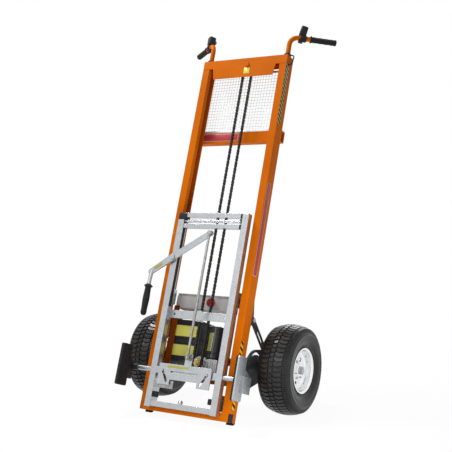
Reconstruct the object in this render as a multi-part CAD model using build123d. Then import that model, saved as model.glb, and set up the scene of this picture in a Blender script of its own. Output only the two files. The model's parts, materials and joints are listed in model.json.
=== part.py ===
from build123d import *
import math
import os

# Mast frame. Sizes are in its own axes: across, back from the front face, and up along the uprights.
lean = 18.7
mast_width = 380.0
mast_height = 1404.0
upright_width = 30.0
upright_depth = 50.0
sheet = 3.0
header_height = 35.0
apron_drop = 46.0
apron_inset = 17.0
apron_taper = 9.0
mid_bar_height = 45.0
mid_bar_depth = 25.0
mid_bar_level = 1063.0
bottom_bar_size = 30.0
tube_wall = 2.5
foot_depth = 12.0
foot_thin = 3.4
foot_inset = 1.0
plug_head = 3.0
plug_round = 2.0
plug_depth = 14.0

# Wire guard behind the chain
mesh_pitch = 12.5
mesh_bar = 1.6
mesh_thick = 1.6
mesh_edge = 6.0
mesh_side = 12.0
mesh_top_gap = 5.0

# Rear frame that carries the drive, the batteries and the control box
rear_bar_thick = 4.0
rear_bar_low = 125.0
strap_width = 23.0
strap_inset = 26.5
strap_spacing = 253.0
strap_lap = 7.0
shelf_thick = 4.0
shelf_level = 154.0
shelf_lip = 7.0
shelf_side_gap = 2.0
shelf_width = 260.0
gusset_thick = 5.0
gusset_drop = 26.0
gusset_end = 12.0
gusset_inset = 20.0

# Batteries and control box
battery_width = 143.0
battery_depth = 95.0
battery_height = 73.5
battery_gap = 4.0
battery_chamfer = 1.5
battery_edge_gap = 1.0
tray_thick = 4.0
tray_height = 47.0
tray_lip = 2.0
tray_side = 3.0
control_width = 240.0
control_inset = 18.0
control_depth = 60.0
control_height = 46.0
control_gap = 43.0
fin_height = 10.0
fin_width = 3.0
fin_pitch = 8.0
stop_inset = 162.0
stop_rise = 25.0
stop_cap_radius = 16.0
stop_cap_height = 13.0
stop_cap_round = 5.0
stop_stem_radius = 6.0
stop_travel = 4.0
stop_collar_radius = 15.0
stop_collar_height = 5.0
stop_hole_depth = 8.0
stop_gap = 1.0

# Lift drive: roller chain loop on two sprockets
chain_pitch = 12.7
teeth = 9
tooth_tip = 2.3
chain_plate = 8.8
chain_gap = 4.6
chain_side = 2.8
chain_back = 13.0
chain_top_gap = 2.5
chain_start = 7.4
roller_seat = 4.0
drive_rise = 32.0
sprocket_thick = 3.8
hub_radius = 10.0
idler_hub_back = 30.0
idler_axle_radius = 5.0
idler_spacer_radius = 8.0
idler_head_radius = 9.5
idler_head = 6.0
idler_nut = 8.0
shaft_radius = 7.0
shaft_nose = 3.0
shaft_depth = 20.0
flange_radius = 30.0
flange_thick = 6.0
flange_gap = 2.0
gearbox_front = 40.0
gearbox_width = 98.0
gearbox_depth = 70.0
gearbox_height = 54.0
gearbox_side = 31.0
gearbox_gap = 1.0
gearbox_round = 5.0
motor_radius = 35.0
motor_height = 119.0
motor_offset = 28.0
motor_back = 76.0
motor_neck = 4.0
motor_neck_inset = 6.0
motor_round = 3.0

# Wheels and undercarriage
wheel_radius = 165.0
tyre_width = 127.0
tyre_shoulder_drop = 11.0
tyre_shoulder_in = 9.0
tyre_bulge_drop = 2.0
tyre_wall = 9.0
tread_depth = 6.0
tread_middle = 7.5
tread_channel = 3.7
tread_side = 41.2
tread_side_channel = 2.8
bead_inset = 14.5
bead_height = 10.0
bead_thick = 9.0
bead_neck = 7.0
rim_radius = 76.0
rim_lip = 7.0
rim_lip_width = 5.0
rim_turn = 3.0
rim_wall = 4.0
dish_outer_drop = 12.0
dish_outer = 20.0
dish_inner = 16.0
dish_inner_radius = 34.0
dish_thick = 6.0
dish_rise = 8.0
hub_shoulder_radius = 27.0
wheel_hub_radius = 22.0
wheel_hub_out = 41.0
wheel_hub_in = 8.0
rim_holes = 5
rim_hole_radius = 8.0
rim_hole_inset = 24.0
wheel_stand = 99.0
axle_back = 220.5
axle_radius = 10.0
axle_tube_radius = 15.0
axle_spacer_radius = 16.0
axle_nut_radius = 16.5
axle_nut = 8.0
axle_end = 10.0
arm_thick = 8.0
arm_inset = 14.0
arm_round = 64.0
arm_round_back = 145.0
arm_round_level = 213.0
arm_end = 30.0
arm_corner = 9.0
arm_brace_margin = 3.0
arm_slot_radius = 50.0
arm_slot_width = 9.0
arm_slot_from = 60.0
arm_slot_sweep = 110.0
arm_flange_low = 105.0
arm_flange_high = 205.0
arm_flange_thick = 4.0
arm_flange_width = 20.0
brace_width = 25.0
brace_thick = 5.0
brace_clear = 1.5
brace_top_level = 372.0
brace_low_back = 202.0
brace_low_level = 272.0
brace_slot = 60.0
brace_bolt = 5.0
brace_head_radius = 9.5
brace_head = 6.0
lug_low = 345.0
lug_high = 440.0
lug_corner = 6.0

# Push handles
handle_radius = 9.5
handle_wall = 2.0
handle_rise = 88.0
handle_bend = 35.0
handle_out = 0.796
handle_rearward = 0.600
handle_up = 0.075
handle_reach = 178.0
grip_start = 78.0
grip_radius = 12.0
grip_cap = 5.0
collar_radius = 14.0
collar_height = 12.0
box_along = 50.0
box_width = 28.0
box_depth = 30.0
box_above = 50.0
box_below = 20.0
box_round = 3.0
button_radius = 7.0
button_above = 30.0
button_proud = 5.0
button_travel = 3.0
button_depth = 9.0
button_rest = 0.5
lead_radius = 2.5
lead_out = 15.0
lead_forward = 9.0
lead_drop = 44.0
lead_bend = 11.0

# Lift carriage
rail_size = 25.0
rail_wall = 2.0
rail_clear = 7.0
rail_low = 12.0
rail_high = 746.0
cap_height = 6.0
cap_round = 4.0
cap_depth = 10.0
cross_front_inset = 2.0
cross_back_inset = 5.0
top_bar_rise = 3.0
top_bar_height = 17.0
second_bar_drop = 56.0
second_bar_height = 16.0
guide_rod_radius = 6.0
guide_rod_drop = 27.0
mid_plate_low = 345.0
mid_plate_height = 30.0
mid_plate_thick = 4.0
mid_hole_radius = 4.5
mid_hole_inset = 18.0
base_bar_rise = 3.0
base_bar_size = 20.0
dome_across = -6.0
dome_radius = 9.0
dome_height = 14.0
dome_round = 8.0
lug_wall = 3.4
chain_clear = 0.7
lug_half_height = 20.0
latch_low = 84.0
latch_height = 28.0
latch_reach = 83.0
latch_thick = 3.0
latch_screw_inset = 18.0
latch_screw_radius = 5.0
latch_screw_head = 1.5
lift_travel = 900.0

# Guide rollers that run inside the uprights
roller_side_gap = 5.0
roller_lip_gap = 3.0
guide_upper = 430.0
guide_lower = 60.0
guide_axle_radius = 4.5
guide_lip_clear = 0.5
guide_washer = 3.0
guide_washer_thick = 2.2
guide_round = 1.5
bracket_thick = 5.0
bracket_inset = 3.0
bracket_half = 28.0
bracket_reach = 38.0

# Clamp: lever, push rod, cam plate and two sliding jaws
lever_turn = 15.0
pivot_inset = 11.0
pivot_level = 569.0
lever_end_across = 9.0
lever_end_level = 667.0
lever_out_reach = 86.0
lever_out_level = 509.0
lever_stand = 6.0
lever_thick = 6.0
lever_eye = 13.0
lever_tip = 11.0
lever_tube_radius = 7.0
lever_grip_radius = 12.5
lever_grip_flange = 17.0
lever_grip_flange_height = 9.0
lever_grip_round = 6.0
lever_grip_top = 460.0
lever_grip_low = 339.0
lever_grip_end = 5.0
pivot_radius = 6.0
pivot_boss_radius = 12.0
pivot_head_radius = 11.0
pivot_head = 5.0
pin_radius = 4.0
rod_radius = 5.0
rod_gap = 3.5
rod_eye = 9.0
rod_eye_thick = 5.0
rod_eye_weld = 2.0
rod_low_level = 200.0
rod_play = 2.2
jaw_level = 147.0
jaw_rod_radius = 9.0
jaw_rod_inner = 60.0
jaw_travel = 22.0
jaw_pin_inset = 17.0
jaw_pin_proud = 3.0
guide_tube_wall = 2.7
slot_play = 1.0
cam_stand = 3.0
cam_thick = 4.0
cam_inset = 16.0
cam_edge = 9.0
cam_rim = 25.0
cam_bar = 25.0
cam_split = 6.0
cam_tongue = 15.0
cam_tongue_top = 14.0
pad_stand = 85.0
pad_thick = 8.0
pad_depth = 55.0
pad_forward = 16.0
pad_height = 152.0
pad_round = 6.0
jaw_plate_thick = 5.0
jaw_tongue_lap = 8.0
jaw_tongue_root = 40.0
jaw_tongue_end = 14.0
jaw_block_thick = 7.0
jaw_block_front = 33.0
jaw_block_back = 2.0
jaw_block_below = 46.0
jaw_block_above = 12.0
jaw_collar_radius = 12.0
jaw_collar_length = 30.0

# Clearances
running_fit = 0.05
close_fit = 0.1
turning_gap = 0.3
cutter = 1.0


def block(x0, x1, y0, y1, z0, z1):
    return Pos((x0 + x1) / 2, (y0 + y1) / 2, (z0 + z1) / 2) * Box(x1 - x0, y1 - y0, z1 - z0)


def rod_x(x0, x1, y, z, radius):
    return Pos((x0 + x1) / 2, y, z) * Rot(Y=90) * Cylinder(radius, x1 - x0)


def rod_y(x, y0, y1, z, radius):
    return Pos(x, (y0 + y1) / 2, z) * Rot(X=90) * Cylinder(radius, y1 - y0)


def rod_z(x, y, z0, z1, radius):
    return Pos(x, y, (z0 + z1) / 2) * Cylinder(radius, z1 - z0)


def plate_front(face, y0, y1):
    plane = Plane(origin=(0, y1, 0), x_dir=(1, 0, 0), z_dir=(0, -1, 0))
    return extrude(plane * face, amount=y1 - y0)


def plate_side(face, x0, x1):
    plane = Plane(origin=(x0, 0, 0), x_dir=(0, 1, 0), z_dir=(1, 0, 0))
    return extrude(plane * face, amount=x1 - x0)


def outline(points):
    return make_face(Polyline(points, close=True))


def both_sides(part):
    return [part, mirror(part, about=Plane.YZ)]


def hull(discs):
    shapes = [Pos(x, y) * Circle(radius) for x, y, radius in discs]
    edges = []
    for shape in shapes:
        edges += shape.edges()
    return make_hull(edges)


def square_tube(x0, x1, y0, y1, z0, z1, wall):
    inner = block(x0 - cutter, x1 + cutter, y0 + wall, y1 - wall, z0 + wall, z1 - wall)
    return block(x0, x1, y0, y1, z0, z1) - inner


parts = {}
lean_angle = math.radians(lean)
half_width = mast_width / 2
inner_face = half_width - upright_width
upright_top = mast_height - header_height
guide_back = upright_depth / 2
base_lift = upright_depth * math.sin(lean_angle) + foot_thin
axle_level = (wheel_radius - base_lift + axle_back * math.sin(lean_angle)) / math.cos(lean_angle)


def floor_at(back):
    return (back * math.sin(lean_angle) - base_lift) / math.cos(lean_angle)


# Uprights, folded channels open towards the middle, with a lip that clears the roller axles
lip_depth = guide_back - guide_axle_radius - guide_lip_clear
channel = outline([
    (inner_face, 0),
    (half_width, 0),
    (half_width, upright_depth),
    (inner_face, upright_depth),
    (inner_face, upright_depth - sheet),
    (half_width - sheet, upright_depth - sheet),
    (half_width - sheet, sheet),
    (inner_face + sheet, sheet),
    (inner_face + sheet, lip_depth),
    (inner_face, lip_depth),
])
upright = extrude(channel, amount=upright_top)
upright -= block(0, mast_width, -cutter, bottom_bar_size, -cutter, bottom_bar_size)
parts["upright_right"] = upright
parts["upright_left"] = mirror(upright, about=Plane.YZ)

# Cross members
mid_back = upright_depth + mid_bar_depth
mid_top = mid_bar_level + mid_bar_height
parts["mid_crossbar"] = square_tube(
    -half_width, half_width, upright_depth, mid_back, mid_bar_level, mid_top, tube_wall
)
bar_end = half_width - plug_head
parts["bottom_crossbar"] = square_tube(
    -bar_end, bar_end, 0, bottom_bar_size, 0, bottom_bar_size, tube_wall
)
plug_in = tube_wall + close_fit
plug_far = bottom_bar_size - plug_in
plug = block(bar_end, half_width, 0, bottom_bar_size, 0, bottom_bar_size)
plug = fillet(plug.edges().filter_by(Axis.X), plug_round)
plug += block(bar_end - plug_depth, bar_end, plug_in, plug_far, plug_in, plug_far)
parts["end_plugs"] = Compound(both_sides(plug))

# Rubber feet, cut level with the floor
foot_front = upright_depth - foot_depth
foot_face = outline([
    (foot_front, 0),
    (upright_depth, 0),
    (upright_depth, floor_at(upright_depth)),
    (foot_front, floor_at(foot_front)),
])
foot = plate_side(foot_face, inner_face + foot_inset, half_width - foot_inset)
parts["feet"] = Compound(both_sides(foot))

# Wire guard
mesh_half = half_width - mesh_side
mesh_high = upright_top - mesh_top_gap
mesh_centre = (mid_top + mesh_high) / 2
mesh_columns = int((2 * mesh_half - 2 * mesh_edge) / mesh_pitch)
mesh_rows = int((mesh_high - mid_top - 2 * mesh_edge) / mesh_pitch)
mesh_face = Rectangle(2 * mesh_half, mesh_high - mid_top)
mesh_hole = mesh_pitch - mesh_bar
mesh_face -= GridLocations(mesh_pitch, mesh_pitch, mesh_columns, mesh_rows) * Rectangle(mesh_hole, mesh_hole)
parts["mesh_guard"] = plate_front(Pos(0, mesh_centre) * mesh_face, upright_depth, upright_depth + mesh_thick)

# Batteries on their tray, from the left arm inwards
rear = upright_depth + rear_bar_thick
shelf_top = shelf_level + shelf_thick
arm_flange_in = half_width - arm_flange_width
shelf_left = -(arm_flange_in - shelf_side_gap)
shelf_right = shelf_left + shelf_width
tray_left = shelf_left + battery_edge_gap
battery_left = tray_left + tray_thick
battery_right = battery_left + battery_width
tray_right = battery_right + tray_side
tray_top = shelf_top + tray_height
battery_front = rear + battery_gap
battery_back = battery_front + battery_depth
tray_front = battery_front - tray_lip
tray = block(tray_left, tray_right, tray_front, battery_back, tray_top - tray_thick, tray_top)
for side in (tray_left, tray_right - tray_thick):
    tray += block(side, side + tray_thick, tray_front, battery_back, shelf_top, tray_top)
parts["battery_tray"] = tray
battery = block(battery_left, battery_right, battery_front, battery_back, 0, battery_height)
battery = chamfer(battery.edges().filter_by(Axis.Y), battery_chamfer)
parts["batteries"] = Compound([Pos(0, 0, tray_top + battery_height * level) * battery for level in (0, 1)])
battery_top = tray_top + 2 * battery_height

# Rear frame: low bar, two straps and a shelf on gussets
control_level = battery_top + control_gap
strap_top = control_level + strap_lap
strap_left = shelf_left + strap_inset
rear_frame = block(-half_width, half_width, upright_depth, rear, rear_bar_low, shelf_top)
for centre in (strap_left, strap_left + strap_spacing):
    rear_frame += block(
        centre - strap_width / 2, centre + strap_width / 2, upright_depth, rear, rear_bar_low, strap_top
    )
shelf_back = battery_back + shelf_lip
rear_frame += block(shelf_left, shelf_right, rear, shelf_back, shelf_level, shelf_top)
gusset_face = outline([
    (rear, shelf_level),
    (shelf_back - gusset_end, shelf_level),
    (rear, shelf_level - gusset_drop),
])
for across in (strap_left, shelf_right - gusset_inset):
    rear_frame += plate_side(gusset_face, across, across + gusset_thick)
parts["rear_frame"] = rear_frame

# Control box with cooling fins, and its stop button
control_left = shelf_left + control_inset
control_right = control_left + control_width
control_top = control_level + control_height
control_back = rear + control_depth
control = block(control_left, control_right, rear, control_back, control_level, control_top)
fin_count = int(control_width / fin_pitch)
for index in range(fin_count):
    fin_left = control_left + (index + 0.5) * fin_pitch - fin_width / 2
    control += block(fin_left, fin_left + fin_width, rear, control_back, control_top, control_top + fin_height)
stop_across = control_left + stop_inset
stop_level = control_level + stop_rise
collar_front = rear - stop_collar_height
stop_hole_end = rear + stop_hole_depth
control += rod_y(stop_across, collar_front, rear, stop_level, stop_collar_radius)
control -= rod_y(stop_across, collar_front - cutter, stop_hole_end, stop_level, stop_stem_radius + running_fit)
parts["control_box"] = control
cap_back = collar_front - stop_travel - stop_gap
stop_end = stop_hole_end - stop_travel - turning_gap
stop = rod_y(stop_across, cap_back - stop_cap_height, cap_back, stop_level, stop_cap_radius)
stop = fillet(stop.edges().sort_by(Axis.Y)[0], stop_cap_round)
stop += rod_y(stop_across, cap_back, stop_end, stop_level, stop_stem_radius)
parts["stop_button"] = stop

# Chain loop: two rows of side plates, joined along the straight runs
pitch_radius = chain_pitch / (2 * math.sin(math.pi / teeth))
chain_outer = pitch_radius + chain_plate / 2
chain_inner = pitch_radius - chain_plate / 2
gearbox_left = tray_right + gearbox_gap
chain_centre = gearbox_left + gearbox_side
drive_level = shelf_top + drive_rise
idler_level = mast_height - sheet - chain_top_gap - chain_outer
loop_length = idler_level - drive_level
loop_level = (idler_level + drive_level) / 2
loop_face = SlotCenterToCenter(loop_length, 2 * chain_outer) - SlotCenterToCenter(loop_length, 2 * chain_inner)
loop_face = Pos(chain_centre, loop_level) * Rot(Z=90) * loop_face
gap_front = chain_back - chain_gap / 2
gap_back = chain_back + chain_gap / 2
chain_front = gap_front - chain_side
chain_rear = gap_back + chain_side
chain = plate_front(loop_face, chain_front, gap_front)
chain += plate_front(loop_face, gap_back, chain_rear)
run_left = chain_centre - pitch_radius
run_right = chain_centre + pitch_radius
run_clear = pitch_radius + chain_start
for run in (run_left, run_right):
    chain += block(
        run - roller_seat, run + roller_seat, gap_front, gap_back, drive_level + run_clear, idler_level - run_clear
    )
parts["lift_chain"] = chain

# Header: an open-bottomed box with an apron that hides the upper sprocket
apron_half = inner_face - apron_inset
apron_low = upright_top - apron_drop
header_face = outline([
    (-half_width, upright_top),
    (-apron_half, upright_top),
    (-apron_half + apron_taper, apron_low),
    (apron_half - apron_taper, apron_low),
    (apron_half, upright_top),
    (half_width, upright_top),
    (half_width, mast_height),
    (-half_width, mast_height),
])
header = plate_front(header_face, 0, sheet)
header += block(-half_width, half_width, 0, upright_depth, mast_height - sheet, mast_height)
header += block(-half_width, half_width, upright_depth - sheet, upright_depth, upright_top, mast_height)
for end in (-half_width, half_width - sheet):
    header += block(end, end + sheet, 0, upright_depth, upright_top, mast_height)
header -= rod_y(chain_centre, -cutter, upright_depth + cutter, idler_level, idler_axle_radius + running_fit)
parts["header"] = header

# Sprockets
tooth_front = chain_back - sprocket_thick / 2
tooth_back = chain_back + sprocket_thick / 2
wheel_face = Circle(pitch_radius + tooth_tip)
wheel_face -= PolarLocations(pitch_radius, teeth) * Circle(roller_seat)
idler = plate_front(Pos(chain_centre, idler_level) * wheel_face, tooth_front, tooth_back)
idler += rod_y(chain_centre, tooth_back, idler_hub_back, idler_level, hub_radius)
idler -= rod_y(chain_centre, 0, idler_hub_back + cutter, idler_level, idler_axle_radius + running_fit)
parts["idler_sprocket"] = idler
nut_back = upright_depth + idler_nut
idler_axle = rod_y(chain_centre, 0, nut_back, idler_level, idler_axle_radius)
idler_axle += rod_y(chain_centre, sheet, tooth_front - turning_gap, idler_level, idler_spacer_radius)
idler_axle += rod_y(
    chain_centre, idler_hub_back + turning_gap, upright_depth - sheet, idler_level, idler_spacer_radius
)
idler_hexagon = Pos(chain_centre, idler_level) * RegularPolygon(idler_head_radius, 6)
idler_axle += plate_front(idler_hexagon, -idler_head, 0)
idler_axle += plate_front(idler_hexagon, upright_depth, nut_back)
parts["idler_axle"] = idler_axle
flange_front = gearbox_front - flange_thick
shaft_end = gearbox_front + shaft_depth
drive = plate_front(Pos(chain_centre, drive_level) * wheel_face, tooth_front, tooth_back)
drive += rod_y(chain_centre, tooth_back, flange_front - flange_gap, drive_level, hub_radius)
drive += rod_y(chain_centre, tooth_front - shaft_nose, shaft_end, drive_level, shaft_radius)
parts["drive_sprocket"] = drive

# Worm gearbox, its round flange and the motor on top
gearbox_right = gearbox_left + gearbox_width
gearbox_back = gearbox_front + gearbox_depth
gearbox_top = shelf_top + gearbox_height
shaft_bore = shaft_radius + turning_gap
gearbox = block(gearbox_left, gearbox_right, gearbox_front, gearbox_back, shelf_top, gearbox_top)
gearbox = fillet(gearbox.edges().filter_by(Axis.Z), gearbox_round)
gearbox -= rod_y(chain_centre, gearbox_front - cutter, shaft_end + cutter, drive_level, shaft_bore)
parts["gearbox"] = gearbox
flange = rod_y(chain_centre, flange_front, gearbox_front, drive_level, flange_radius)
flange -= rod_y(chain_centre, flange_front - cutter, gearbox_front + cutter, drive_level, shaft_bore)
parts["gearbox_flange"] = flange
motor_across = chain_centre + motor_offset
motor_low = gearbox_top + motor_neck
motor_high = motor_low + motor_height
motor = rod_z(motor_across, motor_back, gearbox_top, motor_low, motor_radius - motor_neck_inset)
can = rod_z(motor_across, motor_back, motor_low, motor_high, motor_radius)
motor += fillet(can.edges().filter_by(GeomType.CIRCLE), motor_round)
parts["motor"] = motor

# Undercarriage: a plate arm each side, lugs and slotted braces
arm_across = half_width - arm_inset
brace_out = arm_across + arm_thick
brace_face_out = brace_out + brace_thick
brace_top_back = upright_depth + brace_width / 2 + brace_clear
corner_back = rear + arm_flange_thick + arm_corner
arm_face = hull([
    (axle_back, axle_level, arm_end),
    (arm_round_back, arm_round_level, arm_round),
    (brace_low_back, brace_low_level, brace_width / 2 + arm_brace_margin),
    (corner_back - rear_bar_thick, arm_flange_low + arm_corner, arm_corner),
    (corner_back - rear_bar_thick, arm_flange_high - arm_corner, arm_corner),
])
slot_line = CenterArc((arm_round_back, arm_round_level), arm_slot_radius, arm_slot_from, arm_slot_sweep)
arm_face -= SlotArc(slot_line, arm_slot_width)
arm = plate_side(arm_face, arm_across, brace_out)
arm += block(arm_flange_in, half_width, rear, rear + arm_flange_thick, arm_flange_low, arm_flange_high)
arm += block(arm_flange_in, half_width, upright_depth, rear, shelf_top, arm_flange_high)
arm -= rod_x(arm_across - arm_thick, half_width, axle_back, axle_level, axle_radius + running_fit)
arm -= rod_x(arm_across - arm_thick, half_width, brace_low_back, brace_low_level, brace_bolt + running_fit)
parts["axle_arms"] = Compound(both_sides(arm))
lug_face = hull([
    (brace_top_back, brace_top_level, brace_width / 2),
    (upright_depth + lug_corner, lug_low + lug_corner, lug_corner),
    (upright_depth + lug_corner, lug_high - lug_corner, lug_corner),
])
lug = plate_side(lug_face, arm_across, brace_out)
lug -= rod_x(arm_across - cutter, brace_out + cutter, brace_top_back, brace_top_level, brace_bolt + running_fit)
parts["brace_lugs"] = Compound(both_sides(lug))
brace_run = math.hypot(brace_low_back - brace_top_back, brace_low_level - brace_top_level)
brace_tilt = math.degrees(math.atan2(brace_low_level - brace_top_level, brace_low_back - brace_top_back))
brace_face = SlotCenterToCenter(brace_run, brace_width)
brace_face -= Pos(-brace_run / 2) * Circle(brace_bolt + running_fit)
brace_face -= Pos(brace_run / 2) * Circle(brace_bolt + running_fit)
brace_face -= SlotOverall(brace_slot, 2 * brace_bolt)
brace_centre = Pos((brace_top_back + brace_low_back) / 2, (brace_top_level + brace_low_level) / 2)
brace = plate_side(brace_centre * Rot(Z=brace_tilt) * brace_face, brace_out, brace_face_out)
parts["braces"] = Compound(both_sides(brace))
bolts = []
for back, level in ((brace_top_back, brace_top_level), (brace_low_back, brace_low_level)):
    bolt = rod_x(arm_across, brace_face_out, back, level, brace_bolt)
    hexagon = Pos(back, level) * RegularPolygon(brace_head_radius, 6)
    bolt += plate_side(hexagon, brace_face_out, brace_face_out + brace_head)
    bolt += plate_side(hexagon, arm_across - brace_head, arm_across)
    bolts += both_sides(bolt)
parts["brace_bolts"] = Compound(bolts)

# Axle with a tube between the arms, spacers outside them and end nuts
track_half = half_width + wheel_stand
half_tyre = tyre_width / 2
wheel_in = track_half - half_tyre + wheel_hub_in
wheel_out = track_half + wheel_hub_out
axle_half = wheel_out + axle_end
shaft = rod_x(-axle_half, axle_half, axle_back, axle_level, axle_radius)
shaft += rod_x(-arm_across, arm_across, axle_back, axle_level, axle_tube_radius)
nut_face = Pos(axle_back, axle_level) * RegularPolygon(axle_nut_radius, 6)
for spacer in both_sides(rod_x(brace_out, wheel_in - turning_gap, axle_back, axle_level, axle_spacer_radius)):
    shaft += spacer
for nut in both_sides(plate_side(nut_face, wheel_out + turning_gap, wheel_out + axle_nut)):
    shaft += nut
parts["axle"] = shaft

# Wheels: tyre with channels round its tread, pressed rim and hub
shoulder = wheel_radius - tyre_shoulder_drop
shoulder_edge = half_tyre - tyre_shoulder_in
tyre_middle = (rim_radius + wheel_radius) / 2 - tyre_bulge_drop
bead = half_tyre - bead_inset
bead_top = rim_radius + bead_height
wall_edge = half_tyre - tyre_wall
crown_edge = shoulder_edge - tyre_wall
crown_arc = (shoulder_edge**2 + tyre_shoulder_drop**2) / (2 * tyre_shoulder_drop)


def crown(across):
    return wheel_radius - crown_arc + math.sqrt(crown_arc**2 - across**2)


tread_side_in = tread_middle + tread_channel
tread_lands = [tread_middle, tread_side_in, tread_side, tread_side + tread_side_channel, shoulder_edge]
tread_lands = [-across for across in reversed(tread_lands)] + tread_lands
tread_lines = []
for index, (start, end) in enumerate(zip(tread_lands, tread_lands[1:])):
    high_start, high_end, centre = (start, crown(start)), (end, crown(end)), (start + end) / 2
    if index % 2:
        low_start, low_end = (start, crown(start) - tread_depth), (end, crown(end) - tread_depth)
        tread_lines.append(Polyline(high_start, low_start, low_end, high_end))
    else:
        tread_lines.append(ThreePointArc(high_start, (centre, crown(centre)), high_end))
tyre_face = make_face([
    Polyline((-bead, rim_radius), (-bead, bead_top)),
    Spline(
        (-bead, bead_top), (-half_tyre, tyre_middle), (-shoulder_edge, shoulder),
        tangents=[(-0.6, 1), (0.7, 1)],
    ),
    *tread_lines,
    Spline(
        (shoulder_edge, shoulder), (half_tyre, tyre_middle), (bead, bead_top),
        tangents=[(0.7, -1), (-0.6, -1)],
    ),
    Polyline((bead, bead_top), (bead, rim_radius)),
    Polyline(
        (bead, rim_radius), (bead - bead_thick, rim_radius), (bead - bead_neck, bead_top), (wall_edge, tyre_middle),
        (crown_edge, shoulder - tyre_wall), (-crown_edge, shoulder - tyre_wall), (-wall_edge, tyre_middle),
        (-bead + bead_neck, bead_top), (-bead + bead_thick, rim_radius), (-bead, rim_radius),
    ),
])
tyre = revolve(tyre_face, Axis.X)
rim_edge = bead + rim_lip_width
lip_top = rim_radius + rim_lip
lip_root = rim_radius + cutter
barrel = rim_radius - rim_wall
hub_bore = axle_radius + running_fit
hub_front = wheel_out - track_half
hub_rear = wheel_in - track_half
dish_back = dish_inner - dish_thick
rim_face = outline([
    (-rim_edge, lip_top),
    (-bead, lip_top),
    (-bead, rim_radius),
    (bead, rim_radius),
    (bead, lip_top),
    (rim_edge, lip_top),
    (rim_edge, lip_root),
    (rim_edge - rim_turn, barrel),
    (dish_inner + dish_rise, barrel - cutter),
    (dish_outer, rim_radius - dish_outer_drop),
    (dish_inner, dish_inner_radius),
    (dish_inner + dish_rise, hub_shoulder_radius),
    (hub_front, wheel_hub_radius),
    (hub_front, hub_bore),
    (hub_rear, hub_bore),
    (hub_rear, wheel_hub_radius),
    (dish_back, hub_shoulder_radius),
    (dish_back, dish_inner_radius + cutter),
    (dish_outer - dish_thick, rim_radius - dish_outer_drop),
    (dish_outer - dish_thick, barrel),
    (rim_turn - rim_edge, barrel),
    (-rim_edge, lip_root),
])
rim = revolve(rim_face, Axis.X)
for place_hole in PolarLocations(rim_radius - rim_hole_inset, rim_holes):
    hole_at = place_hole.position
    rim -= rod_x(0, rim_edge, hole_at.X, hole_at.Y, rim_hole_radius)
wheel_centre = Pos(track_half, axle_back, axle_level)
for piece, shape in (("tyre", tyre), ("rim", rim)):
    parts[piece + "_right"] = wheel_centre * shape
    parts[piece + "_left"] = mirror(wheel_centre * shape, about=Plane.YZ)

# Push handles with grips, collars and switch boxes
handle_across = (inner_face + half_width) / 2
handle_back = guide_back
reach = Vector(handle_out, handle_rearward, handle_up).normalized()
corner = Vector(handle_across, handle_back, mast_height + handle_rise)
handle_end = corner + reach * handle_reach
handle_line = FilletPolyline(
    (handle_across, handle_back, mast_height), tuple(corner), tuple(handle_end), radius=handle_bend
)
ring = Circle(handle_radius) - Circle(handle_radius - handle_wall)
handle = sweep(Plane(handle_line @ 0, z_dir=handle_line % 0) * ring, path=handle_line)
operator = Vector(-reach.Y, reach.X, 0).normalized()
along_tube = Plane(origin=corner, x_dir=operator, z_dir=reach)
from_start = (Align.CENTER, Align.CENTER, Align.MIN)
grip = along_tube * (Pos(0, 0, grip_start) * Cylinder(
    grip_radius, handle_reach + grip_cap - grip_start, align=from_start
))
grip -= along_tube * (Pos(0, 0, grip_start - cutter) * Cylinder(
    handle_radius + running_fit, handle_reach + cutter - grip_start, align=from_start
))
collar_top = mast_height + collar_height
collar = rod_z(handle_across, handle_back, mast_height, collar_top, collar_radius)
collar -= rod_z(handle_across, handle_back, mast_height - cutter, collar_top + cutter, handle_radius + running_fit)
box_centre = corner + reach * box_along
box_frame = Plane(origin=box_centre, x_dir=reach, z_dir=reach.cross(operator))
switch_box = box_frame * block(-box_width / 2, box_width / 2, -box_depth / 2, box_depth / 2, -box_below, box_above)
switch_box = fillet(switch_box.edges(), box_round)
switch_box -= box_frame * rod_x(-box_width, box_width, 0, 0, handle_radius + running_fit)
button_seat = box_depth / 2 - button_depth
button_foot = button_seat + button_travel + button_rest
button_top = box_depth / 2 + button_proud
switch_box -= box_frame * rod_y(0, button_seat, box_depth, button_above, button_radius + turning_gap)
button = box_frame * rod_y(0, button_foot, button_top, button_above, button_radius)
parts["handles"] = Compound(both_sides(handle))
parts["hand_grips"] = Compound(both_sides(grip))
parts["handle_collars"] = Compound(both_sides(collar))
parts["switch_boxes"] = Compound(both_sides(switch_box))
parts["button_right"] = button
parts["button_left"] = mirror(button, about=Plane.YZ)

# Switch lead: a short loop from the right collar into the side of the upright
lead_high = mast_height + collar_height / 2
lead_low = lead_high - lead_drop
lead_side = half_width + lead_out
lead_line = FilletPolyline(
    (handle_across + collar_radius, handle_back, lead_high),
    (lead_side, handle_back, lead_high),
    (lead_side, handle_back - lead_forward, lead_low),
    (half_width, handle_back - lead_forward, lead_low),
    radius=lead_bend,
)
lead = sweep(Plane(lead_line @ 0, z_dir=lead_line % 0) * Circle(lead_radius), path=lead_line)
parts["switch_lead"] = lead

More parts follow.
